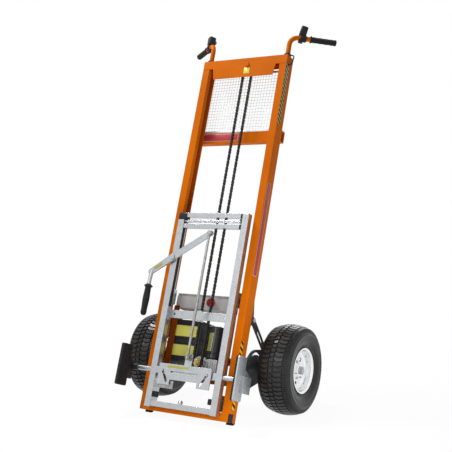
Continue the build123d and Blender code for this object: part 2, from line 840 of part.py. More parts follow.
# Carriage rails and cross bars
rail_outer = inner_face - rail_clear
rail_inner = rail_outer - rail_size
rail_back = -mid_plate_thick
rail_front = rail_back - rail_size
rail_mid = (rail_front + rail_back) / 2
rail = block(rail_inner, rail_outer, rail_front, rail_back, rail_low, rail_high)
rail -= block(
    rail_inner + rail_wall, rail_outer - rail_wall, rail_front + rail_wall, rail_back - rail_wall,
    rail_low - cutter, rail_high + cutter
)
rail -= rod_x(rail_inner - cutter, rail_outer + cutter, rail_mid, jaw_level, jaw_rod_radius + turning_gap)
parts["carriage_rails"] = Compound(both_sides(rail))
cap = block(rail_inner, rail_outer, rail_front, rail_back, rail_high, rail_high + cap_height)
cap = fillet(cap.faces().sort_by(Axis.Z)[-1].edges(), cap_round)
cap_in = rail_wall + close_fit
cap += block(
    rail_inner + cap_in, rail_outer - cap_in, rail_front + cap_in, rail_back - cap_in,
    rail_high - cap_depth, rail_high
)
parts["rail_caps"] = Compound(both_sides(cap))
cross_front = rail_front + cross_front_inset
cross_back = rail_back - cross_back_inset
cross_mid = (cross_front + cross_back) / 2


def cross_bar(low, height, back):
    return square_tube(-rail_inner, rail_inner, cross_front, back, low, low + height, rail_wall)


top_bar = cross_bar(rail_high + top_bar_rise - top_bar_height, top_bar_height, cross_back)
second_bar = cross_bar(rail_high - second_bar_drop, second_bar_height, cross_back)
base_bar_low = rail_low + base_bar_rise
base_bar_high = base_bar_low + base_bar_size
base_bar_back = cross_front + base_bar_size
base_bar = cross_bar(base_bar_low, base_bar_size, base_bar_back)
dome_back = (cross_front + base_bar_back) / 2
dome = rod_z(dome_across, dome_back, base_bar_high, base_bar_high + dome_height, dome_radius)
base_bar += fillet(dome.edges().sort_by(Axis.Z)[-1], dome_round)
parts["cross_bars"] = Compound([top_bar, second_bar, base_bar])
parts["guide_rod"] = rod_x(-rail_inner, rail_inner, cross_mid, rail_high - guide_rod_drop, guide_rod_radius)
mid_plate = block(-rail_outer, rail_outer, rail_back, 0, mid_plate_low, mid_plate_low + mid_plate_height)
mid_level = mid_plate_low + mid_plate_height / 2
mid_hole_across = rail_inner - mid_hole_inset
for across in (-mid_hole_across, mid_hole_across):
    mid_plate -= rod_y(across, rail_back - cutter, cutter, mid_level, mid_hole_radius)
parts["mid_plate"] = mid_plate

# Clevis that ties the carriage to one run of the chain
run_half = chain_plate / 2 + chain_clear
clevis_half = run_half + lug_wall
slot_back = chain_rear + chain_clear
clevis = block(
    run_left - clevis_half, run_left + clevis_half, 0, slot_back + lug_wall,
    mid_level - lug_half_height, mid_level + lug_half_height
)
clevis -= block(
    run_left - run_half, run_left + run_half, chain_front - chain_clear, slot_back,
    mid_level - lug_half_height - cutter, mid_level + lug_half_height + cutter
)
parts["chain_clevis"] = clevis

# Guide brackets with stub axles, and the rollers that run in the uprights
bracket_out = rail_outer - bracket_inset
roller_out = half_width - sheet - roller_side_gap
roller_in = inner_face + sheet + roller_lip_gap
roller_radius = guide_back - sheet - turning_gap
washer_in = roller_out + turning_gap
brackets = []
for level in (guide_upper, guide_lower):
    bracket = block(
        bracket_out - bracket_thick, bracket_out, rail_back, bracket_reach, level - bracket_half, level + bracket_half
    )
    bracket += rod_x(bracket_out, washer_in, guide_back, level, guide_axle_radius)
    bracket += rod_x(washer_in, washer_in + guide_washer_thick, guide_back, level, guide_axle_radius + guide_washer)
    brackets += both_sides(bracket)
parts["roller_brackets"] = Compound(brackets)
for height, level in (("upper", guide_upper), ("lower", guide_lower)):
    roller = rod_x(roller_in, roller_out, guide_back, level, roller_radius)
    roller = fillet(roller.edges().filter_by(GeomType.CIRCLE), guide_round)
    roller -= rod_x(roller_in - cutter, roller_out + cutter, guide_back, level, guide_axle_radius + running_fit)
    parts["roller_right_" + height] = roller
    parts["roller_left_" + height] = mirror(roller, about=Plane.YZ)

# Latch plate beside the left rail, with two screws
latch_right = latch_reach - rail_inner
latch_level = latch_low + latch_height / 2
latch = block(-rail_inner, latch_right, rail_front, rail_front + latch_thick, latch_low, latch_low + latch_height)
for across in (latch_screw_inset - rail_inner, latch_right - latch_screw_inset):
    latch += rod_y(across, rail_front - latch_screw_head, rail_front, latch_level, latch_screw_radius)
parts["latch_plate"] = latch

# Guide tube for the jaws, slotted in front for their pins
tube_half = jaw_rod_radius + turning_gap + guide_tube_wall
tube_front = rail_mid - tube_half
guide_tube = square_tube(
    -rail_inner, rail_inner, tube_front, rail_mid + tube_half, jaw_level - tube_half, jaw_level + tube_half,
    guide_tube_wall
)
cam_half = rail_inner - cam_inset
jaw_pin_across = cam_half - jaw_pin_inset
pin_slot = pin_radius + slot_play
for side in (-1, 1):
    ends = sorted((side * (jaw_pin_across + pin_slot), side * (jaw_pin_across - jaw_travel - pin_slot)))
    guide_tube -= block(
        ends[0], ends[1], tube_front - cutter, tube_front + guide_tube_wall + cutter,
        jaw_level - pin_slot, jaw_level + pin_slot
    )
parts["jaw_guide"] = guide_tube

# Lever, its grip and pivot
pivot_across = pivot_inset - rail_outer
lever_out_across = pivot_across - lever_out_reach
lever_back = rail_front - lever_stand
lever_front = lever_back - lever_thick
lever_mid = (lever_front + lever_back) / 2
rod_plane = lever_front - rod_gap - rod_eye_thick / 2
pin_front = rod_plane - rod_eye_thick
lever_face = hull([
    (pivot_across, pivot_level, lever_eye),
    (lever_end_across, lever_end_level, lever_tip),
    (lever_out_across, lever_out_level, lever_tip),
])
lever = plate_front(lever_face, lever_front, lever_back)
lever -= rod_y(pivot_across, lever_front - cutter, lever_back + cutter, pivot_level, pivot_radius + running_fit)
lever += rod_y(lever_end_across, pin_front, lever_front, lever_end_level, pin_radius)
grip_tube_low = lever_grip_low + lever_grip_end
lever += rod_z(lever_out_across, lever_mid, grip_tube_low, lever_out_level, lever_tube_radius)
parts["lever"] = lever
grip_length = lever_grip_top - lever_grip_low
grip_face = Plane.XZ * outline([
    (0, 0),
    (lever_grip_radius - lever_grip_round, 0),
    (lever_grip_radius, lever_grip_round),
    (lever_grip_radius, grip_length - lever_grip_flange_height),
    (lever_grip_flange, grip_length - lever_grip_flange_height),
    (lever_grip_flange, grip_length - lever_grip_flange_height / 2),
    (lever_grip_radius, grip_length),
    (0, grip_length),
])
lever_grip = Pos(lever_out_across, lever_mid, lever_grip_low) * revolve(grip_face, Axis.Z)
lever_grip -= rod_z(
    lever_out_across, lever_mid, grip_tube_low, lever_grip_top + cutter, lever_tube_radius + running_fit
)
parts["lever_grip"] = lever_grip
head_front = lever_front - pivot_head
pivot = rod_y(pivot_across, lever_back + turning_gap, rail_front, pivot_level, pivot_boss_radius)
pivot += rod_y(pivot_across, head_front, rail_front, pivot_level, pivot_radius)
pivot += rod_y(pivot_across, head_front, lever_front - turning_gap, pivot_level, pivot_head_radius)
parts["lever_pivot"] = pivot

# Push rod between the lever and the cam plate
eye_front = rod_plane - rod_eye_thick / 2
eye_back = rod_plane + rod_eye_thick / 2
eye_cut_front = rod_plane - rod_radius - cutter
eye_cut_back = rod_plane + rod_radius + cutter
rod_weld = rod_eye - rod_eye_weld
push_rod = rod_z(lever_end_across, rod_plane, rod_low_level + rod_weld, lever_end_level - rod_weld, rod_radius)
for level, bore in ((lever_end_level, running_fit), (rod_low_level, rod_play)):
    push_rod += rod_y(lever_end_across, eye_front, eye_back, level, rod_eye)
    push_rod -= rod_y(lever_end_across, eye_cut_front, eye_cut_back, level, pin_radius + bore)
parts["push_rod"] = push_rod

# Cam plate: two sloping slots draw the jaw pins inwards as the rod rises
arm_length = math.hypot(lever_end_across - pivot_across, lever_end_level - pivot_level)
arm_angle = math.atan2(lever_end_level - pivot_level, lever_end_across - pivot_across)
turned = arm_angle + math.radians(lever_turn)
tip_across = pivot_across + arm_length * math.cos(turned)
tip_level = pivot_level + arm_length * math.sin(turned)
rod_length = lever_end_level - rod_low_level
rod_turn = math.asin((lever_end_across - tip_across) / rod_length)
cam_rise = tip_level - rod_length * math.cos(rod_turn) - rod_low_level
cam_back = rail_front - cam_stand
cam_front = cam_back - cam_thick
cam_low = jaw_level - cam_rise - pin_slot - cam_edge
cam_high = jaw_level + cam_rim
tongue_high = rod_low_level + cam_tongue_top
cam_face = outline([
    (-cam_half, cam_low),
    (cam_half, cam_low),
    (cam_half, cam_high),
    (lever_end_across + cam_tongue, cam_high),
    (lever_end_across + cam_tongue, tongue_high),
    (lever_end_across - cam_tongue, tongue_high),
    (lever_end_across - cam_tongue, cam_high),
    (-cam_half, cam_high),
])
slot_length = math.hypot(jaw_travel, cam_rise)
for side in (-1, 1):
    slope = math.degrees(math.atan2(cam_rise, side * jaw_travel))
    slot_centre = Pos(side * (jaw_pin_across - jaw_travel / 2), jaw_level - cam_rise / 2)
    cam_face -= slot_centre * Rot(Z=slope) * SlotCenterToCenter(slot_length, 2 * pin_slot)
cam_window = 2 * (jaw_pin_across - jaw_travel - pin_slot - cam_edge)
split_level = cam_high - cam_bar - cam_split / 2
notch_high = cam_high - 2 * cam_bar - cam_split
cam_face -= Pos(0, split_level) * Rectangle(cam_window, cam_split)
cam_face -= Pos(0, (cam_low - cutter + notch_high) / 2) * Rectangle(cam_window, notch_high - cam_low + cutter)
cam_plate = plate_front(cam_face, cam_front, cam_back)
cam_plate += rod_y(lever_end_across, pin_front, cam_front, rod_low_level, pin_radius)
parts["cam_plate"] = cam_plate

# Jaws: sliding rod with its pin, welded grip plate and end block, and a rubber pad
pad_inner = rail_outer + pad_stand
pad_back = rail_front - pad_forward
pad_front = pad_back - pad_depth
pad_middle = (pad_front + pad_back) / 2
plate_in = pad_inner + pad_thick
plate_out = plate_in + jaw_plate_thick
jaw = rod_x(jaw_rod_inner, plate_out, rail_mid, jaw_level, jaw_rod_radius)
jaw += rod_y(jaw_pin_across, cam_front - jaw_pin_proud, rail_mid, jaw_level, pin_radius)
jaw += rod_x(plate_in - jaw_collar_length, plate_in, rail_mid, jaw_level, jaw_collar_radius)
jaw += block(
    plate_out, plate_out + jaw_block_thick, rail_front - jaw_block_front, rail_back - jaw_block_back,
    jaw_level - jaw_block_below, jaw_level + jaw_block_above
)
pad_face = Pos(pad_middle, jaw_level) * RectangleRounded(pad_depth, pad_height, pad_round)
tongue_front = pad_back - jaw_tongue_lap
tongue_face = outline([
    (tongue_front, jaw_level - jaw_tongue_root),
    (tongue_front, jaw_level + jaw_tongue_root),
    (rail_back, jaw_level + jaw_tongue_end),
    (rail_back, jaw_level - jaw_tongue_end),
])
jaw += plate_side(pad_face + tongue_face, plate_in, plate_out)
pad = plate_side(pad_face, pad_inner, plate_in)
for name, shape in (("jaw", jaw), ("jaw_pad", pad)):
    parts[name + "_right"] = shape
    parts[name + "_left"] = mirror(shape, about=Plane.YZ)

# Lean the mast back, stand it on the floor and centre it over the origin
leaning = Pos(0, 0, base_lift) * Rot(X=-lean)
standing = {name: leaning * shape for name, shape in parts.items()}
extent = Compound(list(standing.values())).bounding_box()
to_origin = Pos(-(extent.min.X + extent.max.X) / 2, -(extent.min.Y + extent.max.Y) / 2, -extent.min.Z)
placed = {name: to_origin * shape for name, shape in standing.items()}

os.makedirs("parts", exist_ok=True)
for name, shape in placed.items():
    export_step(shape, "parts/" + name + ".step")
print(len(placed), "parts", extent.size)
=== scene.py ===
import json
import math

import bmesh
import bpy
from mathutils import Matrix, Vector


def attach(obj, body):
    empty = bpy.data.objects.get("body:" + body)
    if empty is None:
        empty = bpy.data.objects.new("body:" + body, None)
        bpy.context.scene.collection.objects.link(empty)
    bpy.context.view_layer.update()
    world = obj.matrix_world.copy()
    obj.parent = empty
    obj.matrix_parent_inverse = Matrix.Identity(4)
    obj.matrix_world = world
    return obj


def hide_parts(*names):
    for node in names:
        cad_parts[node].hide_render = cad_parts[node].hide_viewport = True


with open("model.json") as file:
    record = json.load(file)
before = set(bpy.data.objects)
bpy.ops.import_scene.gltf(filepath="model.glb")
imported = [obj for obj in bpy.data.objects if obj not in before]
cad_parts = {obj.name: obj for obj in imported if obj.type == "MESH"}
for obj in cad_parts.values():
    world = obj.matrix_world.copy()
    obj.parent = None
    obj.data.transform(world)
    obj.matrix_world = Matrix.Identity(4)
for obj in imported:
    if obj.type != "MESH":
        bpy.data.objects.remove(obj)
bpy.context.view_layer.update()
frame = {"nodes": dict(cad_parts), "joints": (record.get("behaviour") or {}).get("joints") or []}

scene = bpy.context.scene
joints = {joint["name"]: joint for joint in frame["joints"]}
print("frame loaded,", len(frame["nodes"]), "nodes")


def turnTo(*axes):  # local x, y and z run along these three axes
    return Matrix([Vector(axis) for axis in axes]).transposed().to_4x4()


def nodePoints(node):
    return [vertex.co for vertex in frame["nodes"][node].data.vertices]


# mast axes: x across, y back from the front face of the uprights, z up along them
upAxis = Vector(joints["lift_slide"]["axis"])
backAxis = Vector((0, upAxis.z, -upAxis.y))
mastFront = min(point.dot(backAxis) for point in nodePoints("header"))
mastFoot = min(point.dot(upAxis) for point in nodePoints("bottom_crossbar"))
mastOrigin = backAxis * mastFront + upAxis * mastFoot
mastMatrix = Matrix.Translation(mastOrigin) @ turnTo((1, 0, 0), backAxis, upAxis)
toMast = mastMatrix.inverted()


def mastBox(node):  # lowest and highest corner of a node in mast axes
    columns = list(zip(*(toMast @ point for point in nodePoints(node))))
    return Vector([min(column) for column in columns]), Vector([max(column) for column in columns])


# node helpers for the finishes; a socket takes a number, a colour or a link
def addNode(tree, kind, inputs, **settings):
    node = tree.nodes.new("ShaderNode" + kind)
    for name, value in settings.items():
        setattr(node, name, value)
    for socket, value in inputs.items():
        if hasattr(value, "links"):
            tree.links.new(value, node.inputs[socket])
        elif value is not None:
            node.inputs[socket].default_value = value
    return node


def startFinish(name):
    material = bpy.data.materials.new(name)
    material.use_nodes = True
    tree = material.node_tree
    point = addNode(tree, "TexCoord", {}).outputs["Object"]
    return material, tree, tree.nodes["Principled BSDF"], point


def stretched(tree, point, scale):
    return addNode(tree, "Mapping", {"Vector": point, "Scale": scale}).outputs["Vector"]


def noise(tree, point, scale, detail=3.0, rough=0.55):
    inputs = {"Vector": point, "Scale": scale, "Detail": detail, "Roughness": rough}
    return addNode(tree, "TexNoise", inputs).outputs["Fac"]


def ramp(tree, value, stops):
    node = addNode(tree, "ValToRGB", {"Fac": value})
    elements = node.color_ramp.elements
    while len(elements) < len(stops):
        elements.new(0.5)
    for element, (place, color) in zip(elements, stops):
        element.position = place
        element.color = (*color, 1)
    return node.outputs["Color"]


def grey(level):
    return (level, level, level)


def greyRamp(tree, value, span, levels):
    return ramp(tree, value, [(place, grey(level)) for place, level in zip(span, levels)])


def mixed(tree, amount, color, over):  # lays one plain colour over by the amount
    inputs = {0: amount, 6: color, 7: (*over, 1)}
    return addNode(tree, "Mix", inputs, data_type="RGBA").outputs[2]


def maths(tree, operation, first, second=None):
    return addNode(tree, "Math", {0: first, 1: second}, operation=operation).outputs[0]


def softEdge(tree, radius):  # rounds the shading of sharp edges
    return addNode(tree, "Bevel", {"Radius": radius}, samples=4).outputs["Normal"]


def edgeMask(tree, rounded):  # white where the rounded normal leaves the flat one
    flat = addNode(tree, "NewGeometry", {}).outputs["Normal"]
    facing = addNode(tree, "VectorMath", {0: rounded, 1: flat}, operation="DOT_PRODUCT")
    return greyRamp(tree, facing.outputs["Value"], (0.80, 0.985), (1.0, 0.0))


def setSurface(tree, shader, look, color, gloss, relief, rounded=None):
    rough = greyRamp(tree, gloss, look["glossSpan"], look["rough"])
    bump = {"Height": relief, "Strength": look["bump"], "Distance": look["depth"], "Normal": rounded}
    normal = addNode(tree, "Bump", bump).outputs["Normal"]
    for socket, link in (("Base Color", color), ("Roughness", rough), ("Normal", normal)):
        tree.links.new(link, shader.inputs[socket])
    for socket, key in (("Specular IOR Level", "shine"), ("Metallic", "metal")):
        if key in look:
            shader.inputs[socket].default_value = look[key]


# painted steel: orange peel, faint tone drift and thinner paint on the edges
def paintedSteel(name, look):
    material, tree, shader, point = startFinish(name)
    rounded = softEdge(tree, look["edge"])
    drift = noise(tree, point, look["driftScale"], 4.0)
    color = ramp(tree, drift, [(0.3, look["dark"]), (0.72, look["light"])])
    speck = noise(tree, point, look["speckScale"], 2.0)
    specks = greyRamp(tree, speck, (0.66, 0.74), (0.0, look["specks"]))
    color = mixed(tree, specks, color, look["under"])
    scrape = noise(tree, point, look["wearScale"], 4.0)
    worn = maths(tree, "MULTIPLY", edgeMask(tree, rounded), scrape)
    color = mixed(tree, maths(tree, "MULTIPLY", worn, look["wear"]), color, look["worn"])
    smear = noise(tree, stretched(tree, point, look["smear"]), look["smearScale"], 5.0)
    peel = noise(tree, point, look["peelScale"], 2.0)
    setSurface(tree, shader, look, color, smear, peel, rounded)
    return material


paintLook = dict(
    wearScale=90.0, smearScale=26.0, smear=(1.0, 0.4, 0.25), glossSpan=(0.3, 0.75), depth=0.0002,
)
orangeLook = dict(
    paintLook, dark=(0.60, 0.125, 0.0003), light=(0.70, 0.162, 0.0006), under=(0.42, 0.080, 0.0003),
    worn=(0.78, 0.36, 0.10), shine=0.05, driftScale=5.0, speckScale=340.0, specks=0.25, wear=0.8,
    rough=(0.40, 0.56), peelScale=900.0, bump=0.3, edge=0.0016,
)
# darker copy of the orange paint for the rear frame: painted shade, not a paint of its own
shadedOrangeLook = dict(
    orangeLook, dark=(0.20, 0.042, 0.002), light=(0.27, 0.060, 0.004), under=(0.14, 0.030, 0.002),
    worn=(0.42, 0.16, 0.05),
)
boxLook = dict(
    orangeLook, dark=(0.52, 0.505, 0.495), light=(0.60, 0.585, 0.575), under=(0.33, 0.32, 0.31),
    worn=(0.62, 0.62, 0.61), shine=0.3,
)
blackLook = dict(
    paintLook, dark=(0.012, 0.012, 0.013), light=(0.024, 0.024, 0.026), under=grey(0.05),
    worn=(0.22, 0.22, 0.23), shine=0.25, driftScale=9.0, speckScale=420.0, specks=0.3, wear=0.9,
    rough=(0.30, 0.52), peelScale=800.0, bump=0.4, edge=0.0012,
)
motorLook = dict(
    paintLook, dark=(0.008, 0.008, 0.009), light=(0.016, 0.016, 0.018), under=grey(0.04),
    worn=(0.18, 0.18, 0.19), shine=0.45, driftScale=12.0, speckScale=380.0, specks=0.2, wear=0.6,
    rough=(0.14, 0.30), peelScale=700.0, bump=0.25, edge=0.0010,
)


# plated or bare metal: mottle, fine drawn lines and faint stains
def platedMetal(name, look):
    material, tree, shader, point = startFinish(name)
    rounded = softEdge(tree, look["edge"])
    mottle = noise(tree, point, look["mottleScale"], 5.0, 0.65)
    tones = [(0.28, look["dark"]), (0.55, look["base"]), (0.8, look["light"])]
    stain = noise(tree, point, look["stainScale"], 3.0)
    stained = greyRamp(tree, stain, (0.55, 0.8), (0.0, look["stained"]))
    color = mixed(tree, stained, ramp(tree, mottle, tones), look["stain"])
    lines = noise(tree, stretched(tree, point, look["grain"]), look["lineScale"], 3.0, 0.7)
    setSurface(tree, shader, look, color, lines, lines, rounded)
    return material


platedLook = dict(stainScale=7.0, grain=(1.0, 1.0, 1.0), glossSpan=(0.25, 0.8), depth=0.00012)
zincLook = dict(
    platedLook, dark=(0.41, 0.432, 0.450), base=(0.47, 0.492, 0.510), light=(0.54, 0.558, 0.574),
    stain=(0.33, 0.34, 0.34), stained=0.35, mottleScale=64.0, grain=(1.0, 1.0, 0.12),
    lineScale=260.0, rough=(0.22, 0.36), bump=0.15, metal=0.90, edge=0.0010,
)
galvanisedLook = dict(
    zincLook, dark=(0.58, 0.60, 0.61), base=(0.70, 0.71, 0.72), light=(0.80, 0.81, 0.81),
    stain=(0.55, 0.55, 0.53), mottleScale=120.0, rough=(0.40, 0.58), metal=0.45,
)
steelLook = dict(
    zincLook, dark=grey(0.22), base=grey(0.36), light=(0.48, 0.48, 0.47), stain=(0.10, 0.08, 0.06),
    stained=0.7, rough=(0.24, 0.48), metal=1.0,
)
chainLook = dict(
    platedLook, dark=(0.010, 0.009, 0.008), base=(0.026, 0.024, 0.022), light=(0.070, 0.066, 0.062),
    stain=(0.03, 0.016, 0.008), stained=0.6, mottleScale=170.0, lineScale=420.0,
    rough=(0.28, 0.52), bump=0.3, metal=0.75, edge=0.0004,
)
yellowZincLook = dict(
    platedLook, dark=(0.34, 0.25, 0.07), base=(0.55, 0.43, 0.15), light=(0.68, 0.58, 0.28),
    stain=(0.40, 0.36, 0.26), stained=0.6, mottleScale=38.0, lineScale=300.0,
    rough=(0.26, 0.42), bump=0.2, metal=0.9, edge=0.0008,
)
rimLook = dict(
    platedLook, dark=(0.78, 0.79, 0.80), base=(0.90, 0.905, 0.91), light=(0.95, 0.95, 0.955),
    stain=(0.60, 0.60, 0.59), stained=0.3, mottleScale=30.0, grain=(0.2, 1.0, 1.0),
    lineScale=240.0, rough=(0.08, 0.20), bump=0.06, metal=1.0, edge=0.0012,
)
castLook = dict(
    platedLook, dark=(0.40, 0.41, 0.42), base=(0.50, 0.51, 0.52), light=(0.58, 0.59, 0.60),
    stain=(0.30, 0.30, 0.29), stained=0.5, mottleScale=220.0, lineScale=620.0,
    rough=(0.42, 0.62), bump=0.6, metal=0.75, edge=0.0014,
)


# rubber and moulded plastic: grain, a little dust and a dull sheen
def mouldedFinish(name, look):
    material, tree, shader, point = startFinish(name)
    rounded = softEdge(tree, look["edge"])
    drift = noise(tree, point, look["driftScale"], 4.0)
    color = ramp(tree, drift, [(0.3, look["dark"]), (0.75, look["light"])])
    dust = noise(tree, point, look["dustScale"], 6.0, 0.7)
    dusty = greyRamp(tree, dust, (0.50, 0.78), (0.0, look["dusty"]))
    color = mixed(tree, dusty, color, look["dust"])
    grain = noise(tree, point, look["grainScale"], 3.0, 0.6)
    setSurface(tree, shader, look, color, grain, grain, rounded)
    return material


mouldedLook = dict(glossSpan=(0.3, 0.75), depth=0.0003)
tyreLook = dict(
    mouldedLook, dark=grey(0.011), light=(0.022, 0.021, 0.021), dust=(0.070, 0.062, 0.054),
    dusty=0.30, driftScale=14.0, dustScale=60.0, grainScale=900.0, rough=(0.20, 0.34), bump=0.25,
    shine=0.28, edge=0.0012,
)
rubberLook = dict(
    mouldedLook, dark=grey(0.011), light=(0.021, 0.020, 0.020), dust=(0.06, 0.056, 0.052),
    dusty=0.2, driftScale=30.0, dustScale=120.0, grainScale=1300.0, rough=(0.55, 0.75), bump=0.5,
    shine=0.18, edge=0.0008,
)
plasticLook = dict(
    mouldedLook, dark=(0.008, 0.008, 0.009), light=(0.015, 0.015, 0.017), dust=grey(0.04),
    dusty=0.12, driftScale=20.0, dustScale=140.0, grainScale=1800.0, rough=(0.40, 0.56), bump=0.35,
    shine=0.22, edge=0.0010,
)
caseLook = dict(
    plasticLook, dark=grey(0.020), light=(0.034, 0.033, 0.032), grainScale=1100.0,
    rough=(0.42, 0.6),
)
redLook = dict(
    plasticLook, dark=(0.42, 0.016, 0.014), light=(0.52, 0.024, 0.020), dust=(0.56, 0.12, 0.10),
    dusty=0.1, grainScale=700.0, rough=(0.18, 0.30), bump=0.08,
)
panelLook = dict(
    plasticLook, dusty=0.2, grainScale=600.0, rough=(0.28, 0.42), bump=0.06, edge=0.0004,
)
panelTones = dict(  # dark, light, dust
    redPanel=((0.40, 0.030, 0.040), (0.48, 0.040, 0.052), (0.55, 0.22, 0.22)),
    olivePanel=((0.34, 0.34, 0.055), (0.44, 0.43, 0.085), (0.52, 0.52, 0.30)),
    batteryPanel=((0.70, 0.68, 0.120), (0.81, 0.79, 0.165), (0.62, 0.61, 0.34)),
    darkPanel=((0.020, 0.022, 0.016), (0.035, 0.036, 0.028), (0.12, 0.12, 0.09)),
    yellowPanel=((0.66, 0.52, 0.05), (0.76, 0.62, 0.09), (0.76, 0.70, 0.40)),
    palePanel=((0.52, 0.52, 0.48), (0.62, 0.62, 0.58), (0.40, 0.39, 0.36)),
)


# diagonal hazard stripes in mast axes, printed on vinyl
def stripedVinyl(name, look):
    material, tree, shader, point = startFinish(name)
    axes = addNode(tree, "SeparateXYZ", {0: point}).outputs
    slope = maths(tree, "ADD", axes[2], maths(tree, "MULTIPLY", axes[1], look["slant"]))
    band = maths(tree, "FRACT", maths(tree, "DIVIDE", slope, look["pitch"]))
    edge = look["share"] - look["blur"]
    bars = ramp(tree, band, [(edge, look["black"]), (look["share"], look["yellow"])])
    scuff = noise(tree, point, look["scuffScale"], 6.0, 0.7)
    scuffed = greyRamp(tree, scuff, (0.58, 0.74), (0.0, look["scuffed"]))
    gloss = noise(tree, point, look["glossScale"], 3.0)
    setSurface(tree, shader, look, mixed(tree, scuffed, bars, look["scuff"]), gloss, gloss)
    return material


stripeLook = dict(
    pitch=0.0180, slant=0.55, share=0.56, blur=0.03, black=(0.008, 0.008, 0.007),
    yellow=(0.52, 0.46, 0.14), scuff=(0.16, 0.14, 0.08), scuffed=0.35, scuffScale=160.0,
    glossScale=420.0, glossSpan=(0.3, 0.8), rough=(0.30, 0.46), bump=0.12, depth=0.0002, shine=0.15,
)
footStripeLook = dict(
    stripeLook, pitch=0.0215, share=0.50, yellow=(0.82, 0.47, 0.035), scuff=(0.50, 0.36, 0.12),
)

paints = dict(
    orangePaint=orangeLook, blackPaint=blackLook, brownPaint=shadedOrangeLook, boxPaint=boxLook,
    motorPaint=motorLook,
)
metals = dict(
    zincPlate=zincLook, galvanised=galvanisedLook, bareSteel=steelLook, chainSteel=chainLook,
    yellowZinc=yellowZincLook, rimPlate=rimLook, castMetal=castLook,
)
mouldings = dict(
    tyreRubber=tyreLook, gripRubber=rubberLook, blackPlastic=plasticLook, batteryCase=caseLook,
    redPlastic=redLook,
)
for name, (dark, light, dust) in panelTones.items():
    mouldings[name] = dict(panelLook, dark=dark, light=light, dust=dust)
vinyls = dict(hazardVinyl=stripeLook, footVinyl=footStripeLook)
finishes = {}
for makeFinish, looks in (
    (paintedSteel, paints), (platedMetal, metals), (mouldedFinish, mouldings), (stripedVinyl, vinyls),
):
    for name, look in looks.items():
        finishes[name] = makeFinish(name, look)
print("finishes made:", len(finishes))

# finish of each node that stays as it is
nodeFinish = dict(
    orangePaint="upright_left upright_right header mid_crossbar bottom_crossbar handles idler_axle",
    # the rear frame takes the darker orange copy, which is painted shade
    brownPaint="rear_frame",
    boxPaint="control_box",
    blackPaint="axle_arms brace_lugs braces battery_tray axle",
    zincPlate="carriage_rails rail_caps cross_bars guide_rod mid_plate chain_clevis roller_brackets "
              "jaw_guide lever_pivot lever cam_plate jaw_left jaw_right brace_bolts",
    bareSteel="idler_sprocket push_rod latch_plate",
    yellowZinc="drive_sprocket",
    castMetal="gearbox gearbox_flange",
    gripRubber="feet switch_lead",
    blackPlastic="end_plugs handle_collars switch_boxes roller_left_upper roller_left_lower "
                 "roller_right_upper roller_right_lower",
    redPlastic="button_left button_right stop_button",
)
for finish, names in nodeFinish.items():
    for node in names.split():
        mesh = frame["nodes"][node].data
        mesh.materials.clear()
        mesh.materials.append(finishes[finish])

# second finish of three nodes: black left jaw arm and left rail cap, plated axle ends
jawArmFrom, axleEndFrom = 0.212, 0.322
secondFinish = dict(
    jaw_left=("blackPaint", lambda x: x < -jawArmFrom),
    rail_caps=("blackPlastic", lambda x: x < 0),
    axle=("zincPlate", lambda x: abs(x) > axleEndFrom),
)
for node, (finish, applies) in secondFinish.items():
    mesh = frame["nodes"][node].data
    mesh.materials.append(finishes[finish])
    for polygon in mesh.polygons:
        polygon.material_index = 1 if applies(polygon.center.x) else 0


# mesh helpers
def placePiece(bm, name, body, finish, place=mastMatrix, replaced=(), sharp=35.0):
    bmesh.ops.recalc_face_normals(bm, faces=bm.faces)
    mesh = bpy.data.meshes.new(name)
    bm.to_mesh(mesh)
    bm.free()
    for polygon in mesh.polygons:
        polygon.use_smooth = True
    mesh.set_sharp_from_angle(angle=math.radians(sharp))
    mesh.materials.append(finishes[finish])
    piece = bpy.data.objects.new(name, mesh)
    scene.collection.objects.link(piece)
    piece.matrix_world = place
    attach(piece, body)
    if replaced:
        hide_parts(*replaced)
    return piece


def addBlock(bm, low, high, bevel=0.0, segments=2):  # any two opposite corners
    low, high = Vector(low), Vector(high)
    size = [abs(length) for length in high - low]
    place = Matrix.Translation((low + high) / 2) @ Matrix.Diagonal((*size, 1))
    made = bmesh.ops.create_cube(bm, size=1.0, matrix=place)["verts"]
    if bevel:
        roundEdges(bm, list({edge for vertex in made for edge in vertex.link_edges}), bevel, segments)


def roundEdges(bm, edges, bevel, segments=2):
    bmesh.ops.bevel(
        bm, geom=edges, offset=bevel, segments=segments, affect="EDGES", profile=0.5,
    )


def joinInto(bm, part, place):  # moves all of part into bm
    bmesh.ops.transform(part, matrix=place, verts=part.verts)
    mesh = bpy.data.meshes.new("joined")
    part.to_mesh(mesh)
    part.free()
    bm.from_mesh(mesh)
    bpy.data.meshes.remove(mesh)


def along(origin, direction):  # local z runs along direction
    turn = Vector(direction).to_track_quat("Z", "Y").to_matrix().to_4x4()
    return Matrix.Translation(Vector(origin)) @ turn


def circlePoints(radius, count, shift=0.0):  # shift is a share of one step
    turns = [math.tau * (index + shift) / count for index in range(count)]
    return [(radius * math.cos(turn), radius * math.sin(turn)) for turn in turns]


def bridge(bm, rings, closed=True):  # faces between rings of equal count
    for lower, upper in zip(rings, rings[1:]):
        count = len(lower)
        for index in range(count if closed else count - 1):
            after = (index + 1) % count
            bm.faces.new([lower[index], lower[after], upper[after], upper[index]])


